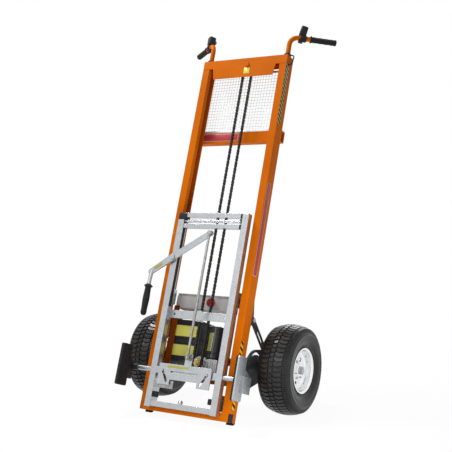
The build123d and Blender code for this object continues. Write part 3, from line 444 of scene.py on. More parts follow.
def addLathe(bm, profile, place, steps=48, start=0.0, sweep=math.tau):
    whole = sweep >= math.tau - 1e-6
    count = steps if whole else steps + 1
    turns = [start + sweep * step / steps for step in range(count)]
    rings = []
    for radius, height in profile:
        spots = [(radius * math.cos(turn), radius * math.sin(turn), height) for turn in turns]
        if not radius:
            spots = spots[:1]
        rings.append([bm.verts.new(place @ Vector(spot)) for spot in spots])
    for first, second in zip(rings, rings[1:]):
        for step in range(steps):
            after = (step + 1) % count
            corners = [first[step % len(first)], first[after % len(first)],
                       second[after % len(second)], second[step % len(second)]]
            unique = list(dict.fromkeys(corners))
            if len(unique) > 2:
                bm.faces.new(unique)


def addClosedLathe(bm, profile, place, steps):  # the profile runs round to its start
    addLathe(bm, [*profile, profile[0]], place, steps)
    bmesh.ops.remove_doubles(bm, verts=bm.verts, dist=1e-6)


def addRod(bm, start, end, radius, steps=16, bevel=0.0):
    start, end = Vector(start), Vector(end)
    length = (end - start).length
    side = [(radius, 0), (radius, length)]
    if bevel:
        small = radius - bevel
        side = [(small, 0), (radius, bevel), (radius, length - bevel), (small, length)]
    addLathe(bm, [(0, 0), *side, (0, length)], along(start, end - start), steps)


def addPlate(bm, points, place, depth, bevel=0.0):  # outline in local x and y, depth along local z
    bottom = [bm.verts.new(place @ Vector((x, y, 0))) for x, y in points]
    top = [bm.verts.new(place @ Vector((x, y, depth))) for x, y in points]
    bm.faces.new(list(reversed(bottom)))
    cover = bm.faces.new(top)
    bridge(bm, [bottom, top])
    if bevel:
        roundEdges(bm, list(cover.edges), bevel)


def roundedOutline(width, height, radius, steps=5):
    points = []
    for corner, (sideX, sideY) in enumerate(((1, 1), (-1, 1), (-1, -1), (1, -1))):
        for step in range(steps + 1):
            angle = math.pi / 2 * (corner + step / steps)
            points.append((sideX * (width / 2 - radius) + radius * math.cos(angle),
                           sideY * (height / 2 - radius) + radius * math.sin(angle)))
    return points


headShape = dict(  # shares of a head's radius and height
    washer=((0, 0), (1.25, 0), (1.3, 0.1), (1.25, 0.2), (0, 0.2)), seat=0.2, chamfer=0.12,
    dome=((0, 0.25), (0.42, 0.25), (0.46, 0.62), (0.72, 0.52), (0.95, 0.25), (1, 0)),
)


def addHexHead(bm, place, radius, height):  # washer and a chamfered head
    seat = height * headShape["seat"]
    washer = [(radius * across, height * up) for across, up in headShape["washer"]]
    addLathe(bm, washer, place, 24)
    raised = place @ Matrix.Translation((0, 0, seat))
    addPlate(bm, circlePoints(radius, 6), raised, height - seat, height * headShape["chamfer"])


def addDomeScrew(bm, place, radius):  # low domed head with a socket
    addLathe(bm, [(radius * across, radius * up) for across, up in headShape["dome"]], place, 20)


weldShape = dict(pitch=0.0032, ripple=0.10, drift=0.05, endSlim=0.45, endRise=8)


def addWeld(bm, start, end, radius):  # a rippled bead laid in a corner
    start, end = Vector(start), Vector(end)
    length = (end - start).length
    ripples = length / weldShape["pitch"]
    rings = max(6, int(ripples * 4))
    slim = weldShape["endSlim"]
    profile = [(0, 0)]
    for ring in range(rings + 1):
        share = ring / rings
        full = min(1.0, weldShape["endRise"] * share, weldShape["endRise"] * (1 - share))
        swell = 1 + weldShape["ripple"] * math.sin(math.tau * share * ripples)
        swell += weldShape["drift"] * math.sin(9.7 * share + 2.1)
        profile.append((radius * swell * (slim + (1 - slim) * full), share * length))
    profile.append((0, length))
    addLathe(bm, profile, along(start, end - start), 8)


# tyres: casing with sidewall rings, and a turf tread of kinked blocks with fine shoulder ribs
tyreShape = dict(
    rows=58, ribs=116, crown=0.165, casingDrop=0.0062, halfTread=0.0545, shoulderDrop=0.011,
    steps=120, blockHalf=0.0062, centreShare=0.94, acrossTaper=0.35,
    blockLevels=((0.0082, 1.12), (0.0009, 1.0), (0.0, 0.90)),  # depth and swell
    centreBlock=((-0.0075, 0.0), (0.0075, 0.0)),
    sideBlock=((0.0112, -0.0022), (0.0240, 0.0026), (0.0412, -0.0016)),
    ribHalf=0.0024, ribFlare=1.2, ribDeep=0.006,
    ribStations=(  # across, sunk, width, lean and drop
        (0.0440, 0.0004, 1.0, 0.0, 1.0), (0.0545, 0.0004, 1.0, 0.5, 0.9),
        (0.0597, 0.0100, 0.9, 0.9, 0.5), (0.0617, 0.0185, 0.5, 1.0, 0.2),
    ),
    crownShares=(0.98, 0.8, 0.55, 0.28, 0.0, -0.28, -0.55, -0.8, -0.98),
    sidewall=(  # across and radius
        (0.040, 0.0768), (0.049, 0.0768), (0.0500, 0.0850), (0.0532, 0.0895), (0.0556, 0.0905),
        (0.0560, 0.0930), (0.0552, 0.0945), (0.0590, 0.1010), (0.0622, 0.1100), (0.0635, 0.1190),
        (0.0632, 0.1270), (0.0640, 0.1284), (0.0639, 0.1310), (0.0622, 0.1325), (0.0602, 0.1400),
        (0.0560, 0.1462),
    ),
)


def crownRadius(across):  # outer face of the tread, level past its edge
    reach, drop = tyreShape["halfTread"], tyreShape["shoulderDrop"]
    across = min(abs(across), reach)
    arc = (reach * reach + drop * drop) / (2 * drop)
    return tyreShape["crown"] - arc + math.sqrt(arc * arc - across * across)


def treadVert(bm, across, radius, turn):
    return bm.verts.new((across, radius * math.cos(turn), radius * math.sin(turn)))


def addTreadBlock(bm, line, angle, half, side):
    edge = [(x, s + half) for x, s in line] + [(x, s - half) for x, s in reversed(line)]
    middle = sum(x for x, s in edge) / len(edge)
    rings = []
    for depth, swell in tyreShape["blockLevels"]:
        wider = 1 + (swell - 1) * tyreShape["acrossTaper"]
        ring = []
        for x, s in edge:
            across = middle + (x - middle) * wider
            turn = angle + s * swell / tyreShape["crown"]
            ring.append(treadVert(bm, side * across, crownRadius(across) - depth, turn))
        rings.append(ring)
    bridge(bm, rings)
    bm.faces.new(rings[-1])


def addShoulderRib(bm, angle, side):
    deep, flare = tyreShape["ribDeep"], tyreShape["ribFlare"]
    rings = []
    for across, sunk, width, lean, drop in tyreShape["ribStations"]:
        half = tyreShape["ribHalf"] * width
        ring = []
        for down, offset in ((deep, half * flare), (0, half), (0, -half), (deep, -half * flare)):
            level = crownRadius(across) - sunk - down * drop
            turn = angle + offset / tyreShape["crown"]
            ring.append(treadVert(bm, side * (across - down * lean), level, turn))
        rings.append(ring)
    bridge(bm, rings, closed=False)
    bm.faces.new(rings[0])
    bm.faces.new(list(reversed(rings[-1])))


def makeTyre(sideName, place):
    shape = tyreShape
    outer = [(radius, across) for across, radius in shape["sidewall"]]
    spots = [shape["halfTread"] * share for share in shape["crownShares"]]
    crown = [(crownRadius(across) - shape["casingDrop"], across) for across in spots]
    inner = [(radius, -across) for radius, across in reversed(outer)]
    bm = bmesh.new()
    addClosedLathe(bm, outer + crown + inner, along((0, 0, 0), (1, 0, 0)), shape["steps"])
    pitch = math.tau / shape["rows"]
    half = shape["blockHalf"]
    for row in range(shape["rows"]):
        angle = pitch * row
        addTreadBlock(bm, shape["centreBlock"], angle + pitch / 2, half * shape["centreShare"], 1)
        for side in (-1, 1):
            addTreadBlock(bm, shape["sideBlock"], angle + side * pitch / 4, half, side)
    for rib in range(shape["ribs"]):
        for side in (-1, 1):
            addShoulderRib(bm, math.tau * (rib + side / 4) / shape["ribs"], side)
    placePiece(bm, "tyre" + sideName.capitalize(), "wheel_" + sideName, "tyreRubber", place,
               ["tyre_" + sideName], 40.0)


# rims: rolled lip, barrel, dished web with five holes, cone hub, nuts and a valve
rimShape = dict(
    steps=96, holes=5, holeRing=0.052, holeRadius=0.008, holeDeep=0.04,
    nuts=5, nutRing=0.0305, nutRadius=0.0052, nutHigh=0.007, nutLevel=0.0188,
    valveAt=215.0, valveFoot=(0.0660, 0, 0.021), valveTip=(0.0600, 0, 0.046),
    valve=((0, 0), (0.0058, 0), (0.0050, 0.006), (0.0036, 0.009), (0.0034, 0.017), (0.0043, 0.018),
           (0.0043, 0.0255), (0.0036, 0.027), (0, 0.027)),
    profile=(  # radius and place along the axle
        (0.0103, -0.0555), (0.0215, -0.0555), (0.0222, -0.0545), (0.0222, -0.010),
        (0.0262, 0.0065), (0.0350, 0.0100), (0.0610, 0.0140), (0.0655, 0.0130), (0.0680, 0.0080),
        (0.0705, -0.0300), (0.0712, -0.0500), (0.0740, -0.0525), (0.0775, -0.0535),
        (0.0815, -0.0535), (0.0830, -0.0520), (0.0825, -0.0500), (0.0765, -0.0488),
        (0.0760, -0.0460), (0.0760, 0.0460), (0.0765, 0.0488), (0.0825, 0.0500), (0.0833, 0.0518),
        (0.0828, 0.0537), (0.0812, 0.0545), (0.0785, 0.0541), (0.0762, 0.0526), (0.0742, 0.0500),
        (0.0728, 0.0440), (0.0716, 0.0300), (0.0700, 0.0240), (0.0668, 0.0206), (0.0628, 0.0200),
        (0.0560, 0.0190), (0.0440, 0.0172), (0.0365, 0.0165), (0.0330, 0.0172), (0.0300, 0.0205),
        (0.0275, 0.0235), (0.0250, 0.0265), (0.0228, 0.0340), (0.0222, 0.0395), (0.0212, 0.0408),
        (0.0160, 0.0410), (0.0103, 0.0410),
    ),
)


def drillRim(rim, holes, place):  # cuts the rods in holes out of the rim's mesh
    bmesh.ops.recalc_face_normals(holes, faces=holes.faces)
    cutterMesh = bpy.data.meshes.new("rimHoles")
    holes.to_mesh(cutterMesh)
    holes.free()
    cutter = bpy.data.objects.new("rimHoles", cutterMesh)
    scene.collection.objects.link(cutter)
    cutter.matrix_world = place
    drill = rim.modifiers.new("holes", "BOOLEAN")
    drill.operation = "DIFFERENCE"
    drill.solver = "EXACT"
    drill.object = cutter
    bpy.context.view_layer.update()
    depsgraph = bpy.context.evaluated_depsgraph_get()
    drilled = bpy.data.meshes.new_from_object(rim.evaluated_get(depsgraph))
    rim.modifiers.remove(drill)
    rim.data = drilled
    bpy.data.objects.remove(cutter)
    drilled.set_sharp_from_angle(angle=math.radians(45))


def makeRim(sideName, side, place):
    shape = rimShape
    body, sideWord = "wheel_" + sideName, sideName.capitalize()
    outward = Vector((side, 0, 0))
    axle = along((0, 0, 0), outward)
    bm = bmesh.new()
    addClosedLathe(bm, shape["profile"], axle, shape["steps"])
    rim = placePiece(bm, "rim" + sideWord, body, "rimPlate", place, ["rim_" + sideName], 50.0)
    holes = bmesh.new()
    for x, y in circlePoints(shape["holeRing"], shape["holes"], 0.5):
        spot = axle @ Vector((x, y, 0))
        addRod(holes, spot, spot + outward * shape["holeDeep"], shape["holeRadius"], 24)
    drillRim(rim, holes, place)
    bm = bmesh.new()
    for x, y in circlePoints(shape["nutRing"], shape["nuts"]):
        spot = axle @ Vector((x, y, shape["nutLevel"]))
        addHexHead(bm, along(spot, outward), shape["nutRadius"], shape["nutHigh"])
    placePiece(bm, "wheelNuts" + sideWord, body, "zincPlate", place)
    bm = bmesh.new()
    valveTurn = axle @ Matrix.Rotation(math.radians(shape["valveAt"]), 4, "Z")
    foot, tip = valveTurn @ Vector(shape["valveFoot"]), valveTurn @ Vector(shape["valveTip"])
    addLathe(bm, shape["valve"], along(foot, tip - foot), 16)
    placePiece(bm, "valve" + sideWord, body, "gripRubber", place)


for sideName, side in (("left", -1), ("right", 1)):
    wheelPlace = Matrix.Translation(Vector(joints["wheel_" + sideName + "_spin"]["pos_m"]))
    makeTyre(sideName, wheelPlace)
    makeRim(sideName, side, wheelPlace)
print("wheels made")

# roller chain: inner and outer links round both sprockets
chainShape = dict(
    pitch=0.0127, teeth=9, plateHalf=0.0043, waist=0.0031, plateThick=0.0011, innerGap=0.0024,
    outerGap=0.0036, rollerRadius=0.0039, pinRadius=0.0018, pinHalf=0.0051, endSteps=6,
)


def makeChain():
    shape = chainShape
    drive = toMast @ Vector(joints["drive_turn"]["pos_m"])
    idler = toMast @ Vector(joints["idler_turn"]["pos_m"])
    radius = shape["pitch"] / (2 * math.sin(math.pi / shape["teeth"]))
    run = idler.z - drive.z
    arc = math.pi * radius
    total = 2 * run + 2 * arc
    count = 2 * round(total / shape["pitch"] / 2)
    half, thick, steps = shape["plateHalf"], shape["plateThick"], shape["endSteps"]

    def around(sprocket, turn):
        offset = Vector((radius * math.cos(turn), 0, radius * math.sin(turn)))
        return sprocket + offset

    def spotAt(distance):  # up the right run, over the idler, down the left run
        distance %= total
        if distance < run:
            return Vector((drive.x + radius, drive.y, drive.z + distance))
        distance -= run
        if distance < arc:
            return around(idler, distance / radius)
        distance -= arc
        if distance < run:
            return Vector((idler.x - radius, idler.y, idler.z - distance))
        return around(drive, math.pi + (distance - run) / radius)

    bm = bmesh.new()
    forward = Vector((0, -1, 0))
    for index in range(count):
        here, there = spotAt(total * index / count), spotAt(total * (index + 1) / count)
        length = (there - here).length
        ahead = (there - here).normalized()
        edge = []
        for centre, first, sign in ((length, -math.pi / 2, 1), (0.0, math.pi / 2, -1)):
            for step in range(steps + 1):
                turn = first + math.pi * step / steps
                edge.append((centre + half * math.cos(turn), half * math.sin(turn)))
            edge.append((length / 2, sign * shape["waist"]))
        place = Matrix.Translation(here) @ turnTo(ahead, forward.cross(ahead), forward)
        gap = shape["innerGap"] if index % 2 else shape["outerGap"]
        for offset in (gap, -gap - thick):
            addPlate(bm, edge, place @ Matrix.Translation((0, 0, offset)), thick)
        rods = ((shape["innerGap"], shape["rollerRadius"], 12), (shape["pinHalf"], shape["pinRadius"], 8))
        for reach, rodRadius, rodSteps in rods:
            addRod(bm, here + forward * reach, here - forward * reach, rodRadius, rodSteps)
    placePiece(bm, "liftChain", "mast", "chainSteel", replaced=["lift_chain"], sharp=40.0)
    print("chain links:", count)


makeChain()

# woven wire guard with a flat edge strip
guardShape = dict(pitch=0.0125, wireRadius=0.0007, wave=0.0006, margin=0.006, sides=6, stripBevel=0.0003)


def addWire(bm, points, radius, sides):
    rings = []
    for index, point in enumerate(points):
        before, after = points[max(0, index - 1)], points[min(len(points) - 1, index + 1)]
        place = along(point, after - before)
        circle = circlePoints(radius, sides)
        rings.append([bm.verts.new(place @ Vector((x, y, 0))) for x, y in circle])
    bridge(bm, rings)
    bm.faces.new(list(reversed(rings[0])))
    bm.faces.new(rings[-1])


def makeGuard():
    low, high = mastBox("mesh_guard")
    pitch, margin, wave = guardShape["pitch"], guardShape["margin"], guardShape["wave"]
    columns = int((high.x - low.x - 2 * margin) / pitch)
    rows = int((high.z - low.z - 2 * margin) / pitch)
    left = (low.x + high.x - columns * pitch) / 2
    bottom = (low.z + high.z - rows * pitch) / 2
    right, top = left + columns * pitch, bottom + rows * pitch
    depth = (low.y + high.y) / 2
    bm = bmesh.new()
    for x, z, endX, endZ in ((low.x, bottom, left, top), (right, bottom, high.x, top),
                             (low.x, low.z, high.x, bottom), (low.x, top, high.x, high.z)):
        addBlock(bm, (x, low.y, z), (endX, high.y, endZ), guardShape["stripBevel"], 1)
    for count, steps, sign in ((columns, rows, 1), (rows, columns, -1)):  # upright, then level wires
        for wire in range(1, count):
            points = []
            for step in range(2 * steps + 1):
                sway = 0 if step % 2 else (sign if (wire + step // 2) % 2 else -sign)
                across, up = (wire, step / 2) if sign > 0 else (step / 2, wire)
                points.append(Vector((left + across * pitch, depth + sway * wave, bottom + up * pitch)))
            addWire(bm, points, guardShape["wireRadius"], guardShape["sides"])
    placePiece(bm, "wireGuard", "mast", "galvanised", replaced=["mesh_guard"], sharp=60.0)
    print("guard wires:", columns + rows - 2)


makeGuard()

# push handle grips: flange, finger waves and a closed end
handleShape = dict(corner=(0.175, 0.025, 1.492), reach=(0.796, 0.600, 0.075))
handGripShape = dict(
    start=0.078, end=0.183, radius=0.0116, rib=0.0007, ribPitch=0.0052, ribFrom=0.0085,
    ribSpare=0.016, ribRise=((0.0, 0.0), (0.12, 1.0), (0.60, 1.0), (0.72, 0.0)),
    wave=0.0004, waveRibs=4.5,
    head=((0.0096, 0), (0.0130, 0), (0.0140, 0.0010), (0.0140, 0.0045), (0.0130, 0.0056),
          (0.0122, 0.0066)),
    tail=((0.0120, 0.0075), (0.0120, 0.0035), (0.0108, 0.0010), (0.0086, 0), (0, 0)),
)


def handleLine(side):  # bend of one handle, and the direction its grip runs in
    mirror = Vector((side, 1, 1))
    return Vector(handleShape["corner"]) * mirror, Vector(handleShape["reach"]).normalized() * mirror


def makeHandGrips():
    shape = handGripShape
    length = shape["end"] - shape["start"]
    pitch = shape["ribPitch"]
    profile = list(shape["head"])
    for rib in range(int((length - shape["ribSpare"]) / pitch)):
        start = shape["ribFrom"] + rib * pitch
        radius = shape["radius"] + shape["wave"] * math.sin(math.tau * rib / shape["waveRibs"])
        for share, rise in shape["ribRise"]:
            profile.append((radius - shape["rib"] * (1 - rise), start + share * pitch))
    profile += [(radius, length - back) for radius, back in shape["tail"]]
    bm = bmesh.new()
    for side in (-1, 1):
        corner, reach = handleLine(side)
        addLathe(bm, profile, along(corner + reach * shape["start"], reach), 32)
    placePiece(bm, "handGrips", "mast", "gripRubber", replaced=["hand_grips"], sharp=50.0)


makeHandGrips()

# switch boxes: clamp round the tube, rounded head that leans forward, short tail
switchShape = dict(
    along=0.050, bore=0.0097, clampRadius=0.0145, clampHalf=0.012, clampRound=0.001,
    headLow=0.008, headHigh=0.050, headWide=0.028, headDeep=0.030, headRound=0.0065,
    tailLow=-0.020, tailHigh=-0.006, tailWide=0.018, tailDeep=0.018, tailRound=0.003,
    lean=13.0, leanAbout=0.030, bezelRadius=0.0098, bezelSunk=0.002, bezelProud=0.0016,
    bezelRound=0.0008,
)


def makeSwitchBoxes():
    shape = switchShape
    corner, reach = handleLine(1)
    rear = Vector((-reach.y, reach.x, 0)).normalized()
    turn = turnTo(reach, rear, reach.cross(rear))
    place = Matrix.Translation(corner + reach * shape["along"]) @ turn
    about = Matrix.Translation((0, 0, shape["leanAbout"]))
    lean = about @ Matrix.Rotation(math.radians(shape["lean"]), 4, "Y") @ about.inverted()
    bore, half, outer = shape["bore"], shape["clampHalf"], shape["clampRadius"]
    small, flat = outer - shape["clampRound"], half - shape["clampRound"]
    ring = [(bore, -half), (small, -half), (outer, -flat), (outer, flat), (small, half), (bore, half),
            (bore, -half)]
    bm = bmesh.new()
    for side in (-1, 1):
        part, head = bmesh.new(), bmesh.new()
        addLathe(part, ring, along((0, 0, 0), (1, 0, 0)), 32)
        for block, segments in (("head", 4), ("tail", 3)):
            wide, deep = shape[block + "Wide"] / 2, shape[block + "Deep"] / 2
            addBlock(head, (-wide, -deep, shape[block + "Low"]), (wide, deep, shape[block + "High"]),
                     shape[block + "Round"], segments)
        joinInto(part, head, lean)
        face = shape["headDeep"] / 2
        addRod(part, (0, face - shape["bezelSunk"], shape["leanAbout"]),
               (0, face + shape["bezelProud"], shape["leanAbout"]), shape["bezelRadius"], 28,
               shape["bezelRound"])
        joinInto(bm, part, Matrix.Diagonal((side, 1, 1, 1)) @ place)
    placePiece(bm, "switchBoxes", "mast", "blackPlastic", replaced=["switch_boxes"],
               sharp=45.0)


makeSwitchBoxes()

# lever grip: guard flange on top, gentle waist, rounded closed end
leverGripShape = dict(
    waist=0.0116, belly=0.0132, bellyBy=1.15, steps=44, grooveEvery=4, groove=0.0006,
    handleFrom=0.016, handleSpare=0.030,
    head=((0.0071, -0.001), (0.0095, 0.0), (0.0157, 0.0055), (0.0172, 0.0075), (0.0160, 0.0090),
          (0.0132, 0.0105), (0.0122, 0.0130)),
    tail=((0.0112, 0.0085), (0.0092, 0.0040), (0.0055, 0.0010), (0, 0)),
)


def makeLeverGrip():
    shape = leverGripShape
    low, high = mastBox("lever_grip")
    length = high.z - low.z
    top = Vector(((low.x + high.x) / 2, (low.y + high.y) / 2, high.z))
    steps, every = shape["steps"], shape["grooveEvery"]
    profile = list(shape["head"])
    for step in range(steps + 1):
        share = step / steps
        swell = math.sin(math.pi * min(1.0, share * shape["bellyBy"])) ** 2
        radius = shape["waist"] + (shape["belly"] - shape["waist"]) * swell
        if step % every == 0 and every < step < steps - 2:
            radius -= shape["groove"]
        profile.append((radius, shape["handleFrom"] + share * (length - shape["handleSpare"])))
    profile += [(radius, length - back) for radius, back in shape["tail"]]
    bm = bmesh.new()
    addLathe(bm, profile, along(top, (0, 0, -1)), 32)
    placePiece(bm, "leverGrip", "lever", "gripRubber", replaced=["lever_grip"], sharp=50.0)


makeLeverGrip()

# jaw pads: rubber slabs with rounded edges and a gripping face of fine ribs
padShape = dict(
    bevel=0.0022, corner=0.0062, ribPitch=0.0076, ribHigh=0.0009, ribDeep=0.0016, ribShare=0.55,
    ribFrom=0.009, ribSpare=0.014, ribIn=0.004, ribRound=0.0004,
)


def makeJawPad(sideName, side):
    shape = padShape
    low, high = mastBox("jaw_pad_" + sideName)
    size, middle = high - low, (low + high) / 2
    inner = low.x if side > 0 else high.x
    middle.x = inner + side * shape["ribHigh"]
    place = Matrix.Translation(middle) @ turnTo((0, 1, 0), (0, 0, side), (side, 0, 0))
    bm = bmesh.new()
    edge = roundedOutline(size.y, size.z, shape["corner"])
    addPlate(bm, edge, place, size.x - shape["ribHigh"], shape["bevel"])
    pitch = shape["ribPitch"]
    for rib in range(int((size.z - shape["ribSpare"]) / pitch)):
        level = low.z + shape["ribFrom"] + rib * pitch
        ribEnd = (inner + side * shape["ribDeep"], high.y - shape["ribIn"],
                  level + pitch * shape["ribShare"])
        addBlock(bm, (inner, low.y + shape["ribIn"], level), ribEnd, shape["ribRound"], 1)
    placePiece(bm, "jawPad" + sideName.capitalize(), "jaw_" + sideName, "gripRubber",
               replaced=["jaw_pad_" + sideName], sharp=40.0)


for sideName, side in (("left", -1), ("right", 1)):
    makeJawPad(sideName, side)
print("grips and pads made")

# batteries: case, stepped lid, terminals, and a bare two-tone panel on the front
batteryShape = dict(
    bevel=0.0022, lid=0.016, lidIn=0.0012, lidGap=0.0006, groove=0.0016, neckHalf=0.004,
    panelIn=0.007, panelThick=0.0006, panelSunk=0.001, panelLow=0.010, panelHigh=0.056,
    headBand=0.005, panelRound=0.0002, postShares=(0.16, 0.84), postIn=0.020, postHalf=0.0085,
    postSunk=0.002, postHigh=0.0025, postRound=0.0008, boltRadius=0.0056, boltHigh=0.0055,
)


def makeBatteries():
    shape = batteryShape
    low, high = mastBox("batteries")
    height = (high.z - low.z) / 2
    step, inset, bevel = shape["lidIn"], shape["panelIn"], shape["bevel"]
    front, back = low.y - shape["panelThick"], low.y + shape["panelSunk"]
    case, sheets, bands, posts = bmesh.new(), bmesh.new(), bmesh.new(), bmesh.new()
    for level in (0, 1):
        bottom = low.z + level * height
        seam = bottom + height - shape["lid"]
        lidTop = bottom + height - shape["lidGap"]
        addBlock(case, (low.x, low.y, bottom), (high.x, high.y, seam - shape["groove"]), bevel, 3)
        addBlock(case, (low.x + step, low.y + step, seam - shape["neckHalf"]),
                 (high.x - step, high.y - step, seam + shape["neckHalf"]))
        addBlock(case, (low.x, low.y, seam), (high.x, high.y, lidTop), bevel, 3)
        panelTop = bottom + shape["panelHigh"]
        split = panelTop - shape["headBand"]
        for bm, start, end in ((sheets, bottom + shape["panelLow"], split), (bands, split, panelTop)):
            addBlock(bm, (low.x + inset, front, start), (high.x - inset, back, end), shape["panelRound"], 1)
    half, postTop = shape["postHalf"], high.z + shape["postHigh"]
    for share in shape["postShares"]:
        x = low.x + (high.x - low.x) * share
        y = high.y - shape["postIn"]
        addBlock(posts, (x - half, y - half, high.z - shape["postSunk"]), (x + half, y + half, postTop),
                 shape["postRound"], 1)
        addHexHead(posts, along((x, y, postTop), (0, 0, 1)), shape["boltRadius"], shape["boltHigh"])
    placePiece(case, "batteryCases", "mast", "batteryCase", replaced=["batteries"], sharp=40.0)
    placePiece(sheets, "batteryPanels", "mast", "batteryPanel")
    placePiece(bands, "batteryPanelBands", "mast", "darkPanel")
    placePiece(posts, "batteryPosts", "mast", "bareSteel")


makeBatteries()

# motor: drawn can with end rings, cooling ribs, through bolts, a bare olive panel and a pale strip beside
# it that is a painted highlight
motorShape = dict(
    ring=0.0012, ribs=5, ribFrom=0.0185, ribPitch=0.0021,
    foot=((0.006, 0), (0.006, 0.004), (0.002, 0.0045), (0, 0.0062), (0, 0.014), (0.0012, 0.015)),
    rib=((0, 0), (0.0007, 0.0003), (0.0007, 0.0010), (0, 0.0013)),
    top=((0.0012, 0.015), (0, 0.014), (0, 0.004), (0.003, 0.0008), (0.006, 0)),
    eye=((0.016, 0), (0.015, 0.0015), (0.0085, 0.0015), (0.0080, 0), (0, 0)),
    bolts=4, boltRing=0.0255, boltRadius=0.0042, boltSunk=0.0002,
    panelLow=0.030, panelHigh=0.098, panelSunk=0.001, panelProud=0.0004, panelFrom=-2.05,
    panelSweep=0.44, panelGap=0.03, highlightSweep=0.11,
)


def makeMotor():
    shape = motorShape
    low, high = mastBox("motor")
    radius = (high.x - low.x) / 2
    body = radius - shape["ring"]
    length = high.z - low.z
    middle = Vector(((low.x + high.x) / 2, (low.y + high.y) / 2, low.z))
    place = Matrix.Translation(middle)
    profile = [(0, 0)] + [(radius - inward, up) for inward, up in shape["foot"]]
    for rib in range(shape["ribs"]):
        start = shape["ribFrom"] + rib * shape["ribPitch"]
        profile += [(body - inward, start + up) for inward, up in shape["rib"]]
    profile += [(radius - inward, length - down) for inward, down in shape["top"]]
    profile += [(eyeRadius, length - down) for eyeRadius, down in shape["eye"]]
    bm = bmesh.new()
    addLathe(bm, profile, place, 64)
    placePiece(bm, "motorCan", "mast", "motorPaint", replaced=["motor"], sharp=30.0)
    bm = bmesh.new()
    for x, y in circlePoints(shape["boltRing"], shape["bolts"], 0.5):
        spot = middle + Vector((x, y, length - shape["boltSunk"]))
        addDomeScrew(bm, along(spot, (0, 0, 1)), shape["boltRadius"])
    placePiece(bm, "motorBolts", "mast", "zincPlate")
    inner, outer = body - shape["panelSunk"], body + shape["panelProud"]
    bottom, top = shape["panelLow"], shape["panelHigh"]
    sheet = [(inner, bottom), (outer, bottom), (outer, top), (inner, top), (inner, bottom)]
    highlightFrom = shape["panelFrom"] + shape["panelSweep"] + shape["panelGap"]
    for name, finish, steps, start, sweep in (
        ("motorPanel", "olivePanel", 14, shape["panelFrom"], shape["panelSweep"]),
        # the pale strip beside the olive panel is a painted highlight, not a second panel
        ("motorPanelHighlight", "palePanel", 8, highlightFrom, shape["highlightSweep"]),
    ):
        bm = bmesh.new()
        addLathe(bm, sheet, place, steps, start, sweep)
        placePiece(bm, name, "mast", finish)


makeMotor()

# gearbox: rear cover, front ribs, round side cap, their screws, and bolts on the round flange
backPlane = turnTo((-1, 0, 0), (0, 0, 1), (0, 1, 0))
sidePlane = turnTo((0, 1, 0), (0, 0, 1), (1, 0, 0))
frontPlane = turnTo((1, 0, 0), (0, 0, 1), (0, -1, 0))
gearboxShape = dict(
    sunk=0.0005, bevel=0.001, coverIn=(0.012, 0.010), coverRound=0.008, coverThick=0.004,
    ribs=4, ribFrom=0.056, ribPitch=0.0105, ribThick=0.004, ribProud=0.004, ribSunk=0.001,
    ribLow=0.006, ribHigh=0.005, ribRound=0.0008, capRadius=0.021, capThick=0.005,
    screwIn=(0.013, 0.011), screwRadius=0.0042, capRing=0.016, capScrew=0.0034, capScrewOut=0.0044,
    flangeRing=0.0235, flangeBolts=6, flangeBolt=0.0038, flangeBoltHigh=0.0036,
)


def makeGearbox():
    shape = gearboxShape
    low, high = mastBox("gearbox")
    middle = (low + high) / 2
    coverX, coverZ = shape["coverIn"]
    bm = bmesh.new()
    edge = roundedOutline(high.x - low.x - coverX, high.z - low.z - coverZ, shape["coverRound"])
    place = Matrix.Translation((middle.x, high.y - shape["sunk"], middle.z)) @ backPlane
    addPlate(bm, edge, place, shape["coverThick"], shape["bevel"])
    for rib in range(shape["ribs"]):
        x = low.x + shape["ribFrom"] + rib * shape["ribPitch"]
        addBlock(bm, (x, low.y - shape["ribProud"], low.z + shape["ribLow"]),
                 (x + shape["ribThick"], low.y + shape["ribSunk"], high.z - shape["ribHigh"]),
                 shape["ribRound"])
    place = Matrix.Translation((high.x - shape["sunk"], middle.y, middle.z)) @ sidePlane
    addPlate(bm, circlePoints(shape["capRadius"], 40), place, shape["capThick"], shape["bevel"])
    placePiece(bm, "gearboxCover", "mast", "castMetal", sharp=40.0)
    bm = bmesh.new()
    screwX, screwZ = shape["screwIn"]
    coverBack = high.y - shape["sunk"] + shape["coverThick"]
    for x in (low.x + screwX, middle.x, high.x - screwX):
        for z in (low.z + screwZ, high.z - screwZ):
            addDomeScrew(bm, along((x, coverBack, z), (0, 1, 0)), shape["screwRadius"])
    for y, z in circlePoints(shape["capRing"], 4, 0.5):
        spot = (high.x + shape["capScrewOut"], middle.y + y, middle.z + z)
        addDomeScrew(bm, along(spot, (1, 0, 0)), shape["capScrew"])
    flangeLow, flangeHigh = mastBox("gearbox_flange")
    centre = (flangeLow + flangeHigh) / 2
    for x, z in circlePoints(shape["flangeRing"], shape["flangeBolts"], 0.5):
        spot = (centre.x + x, flangeLow.y, centre.z + z)
        addHexHead(bm, along(spot, (0, -1, 0)), shape["flangeBolt"], shape["flangeBoltHigh"])
    placePiece(bm, "gearboxScrews", "mast", "zincPlate")


makeGearbox()
print("drive and batteries made")
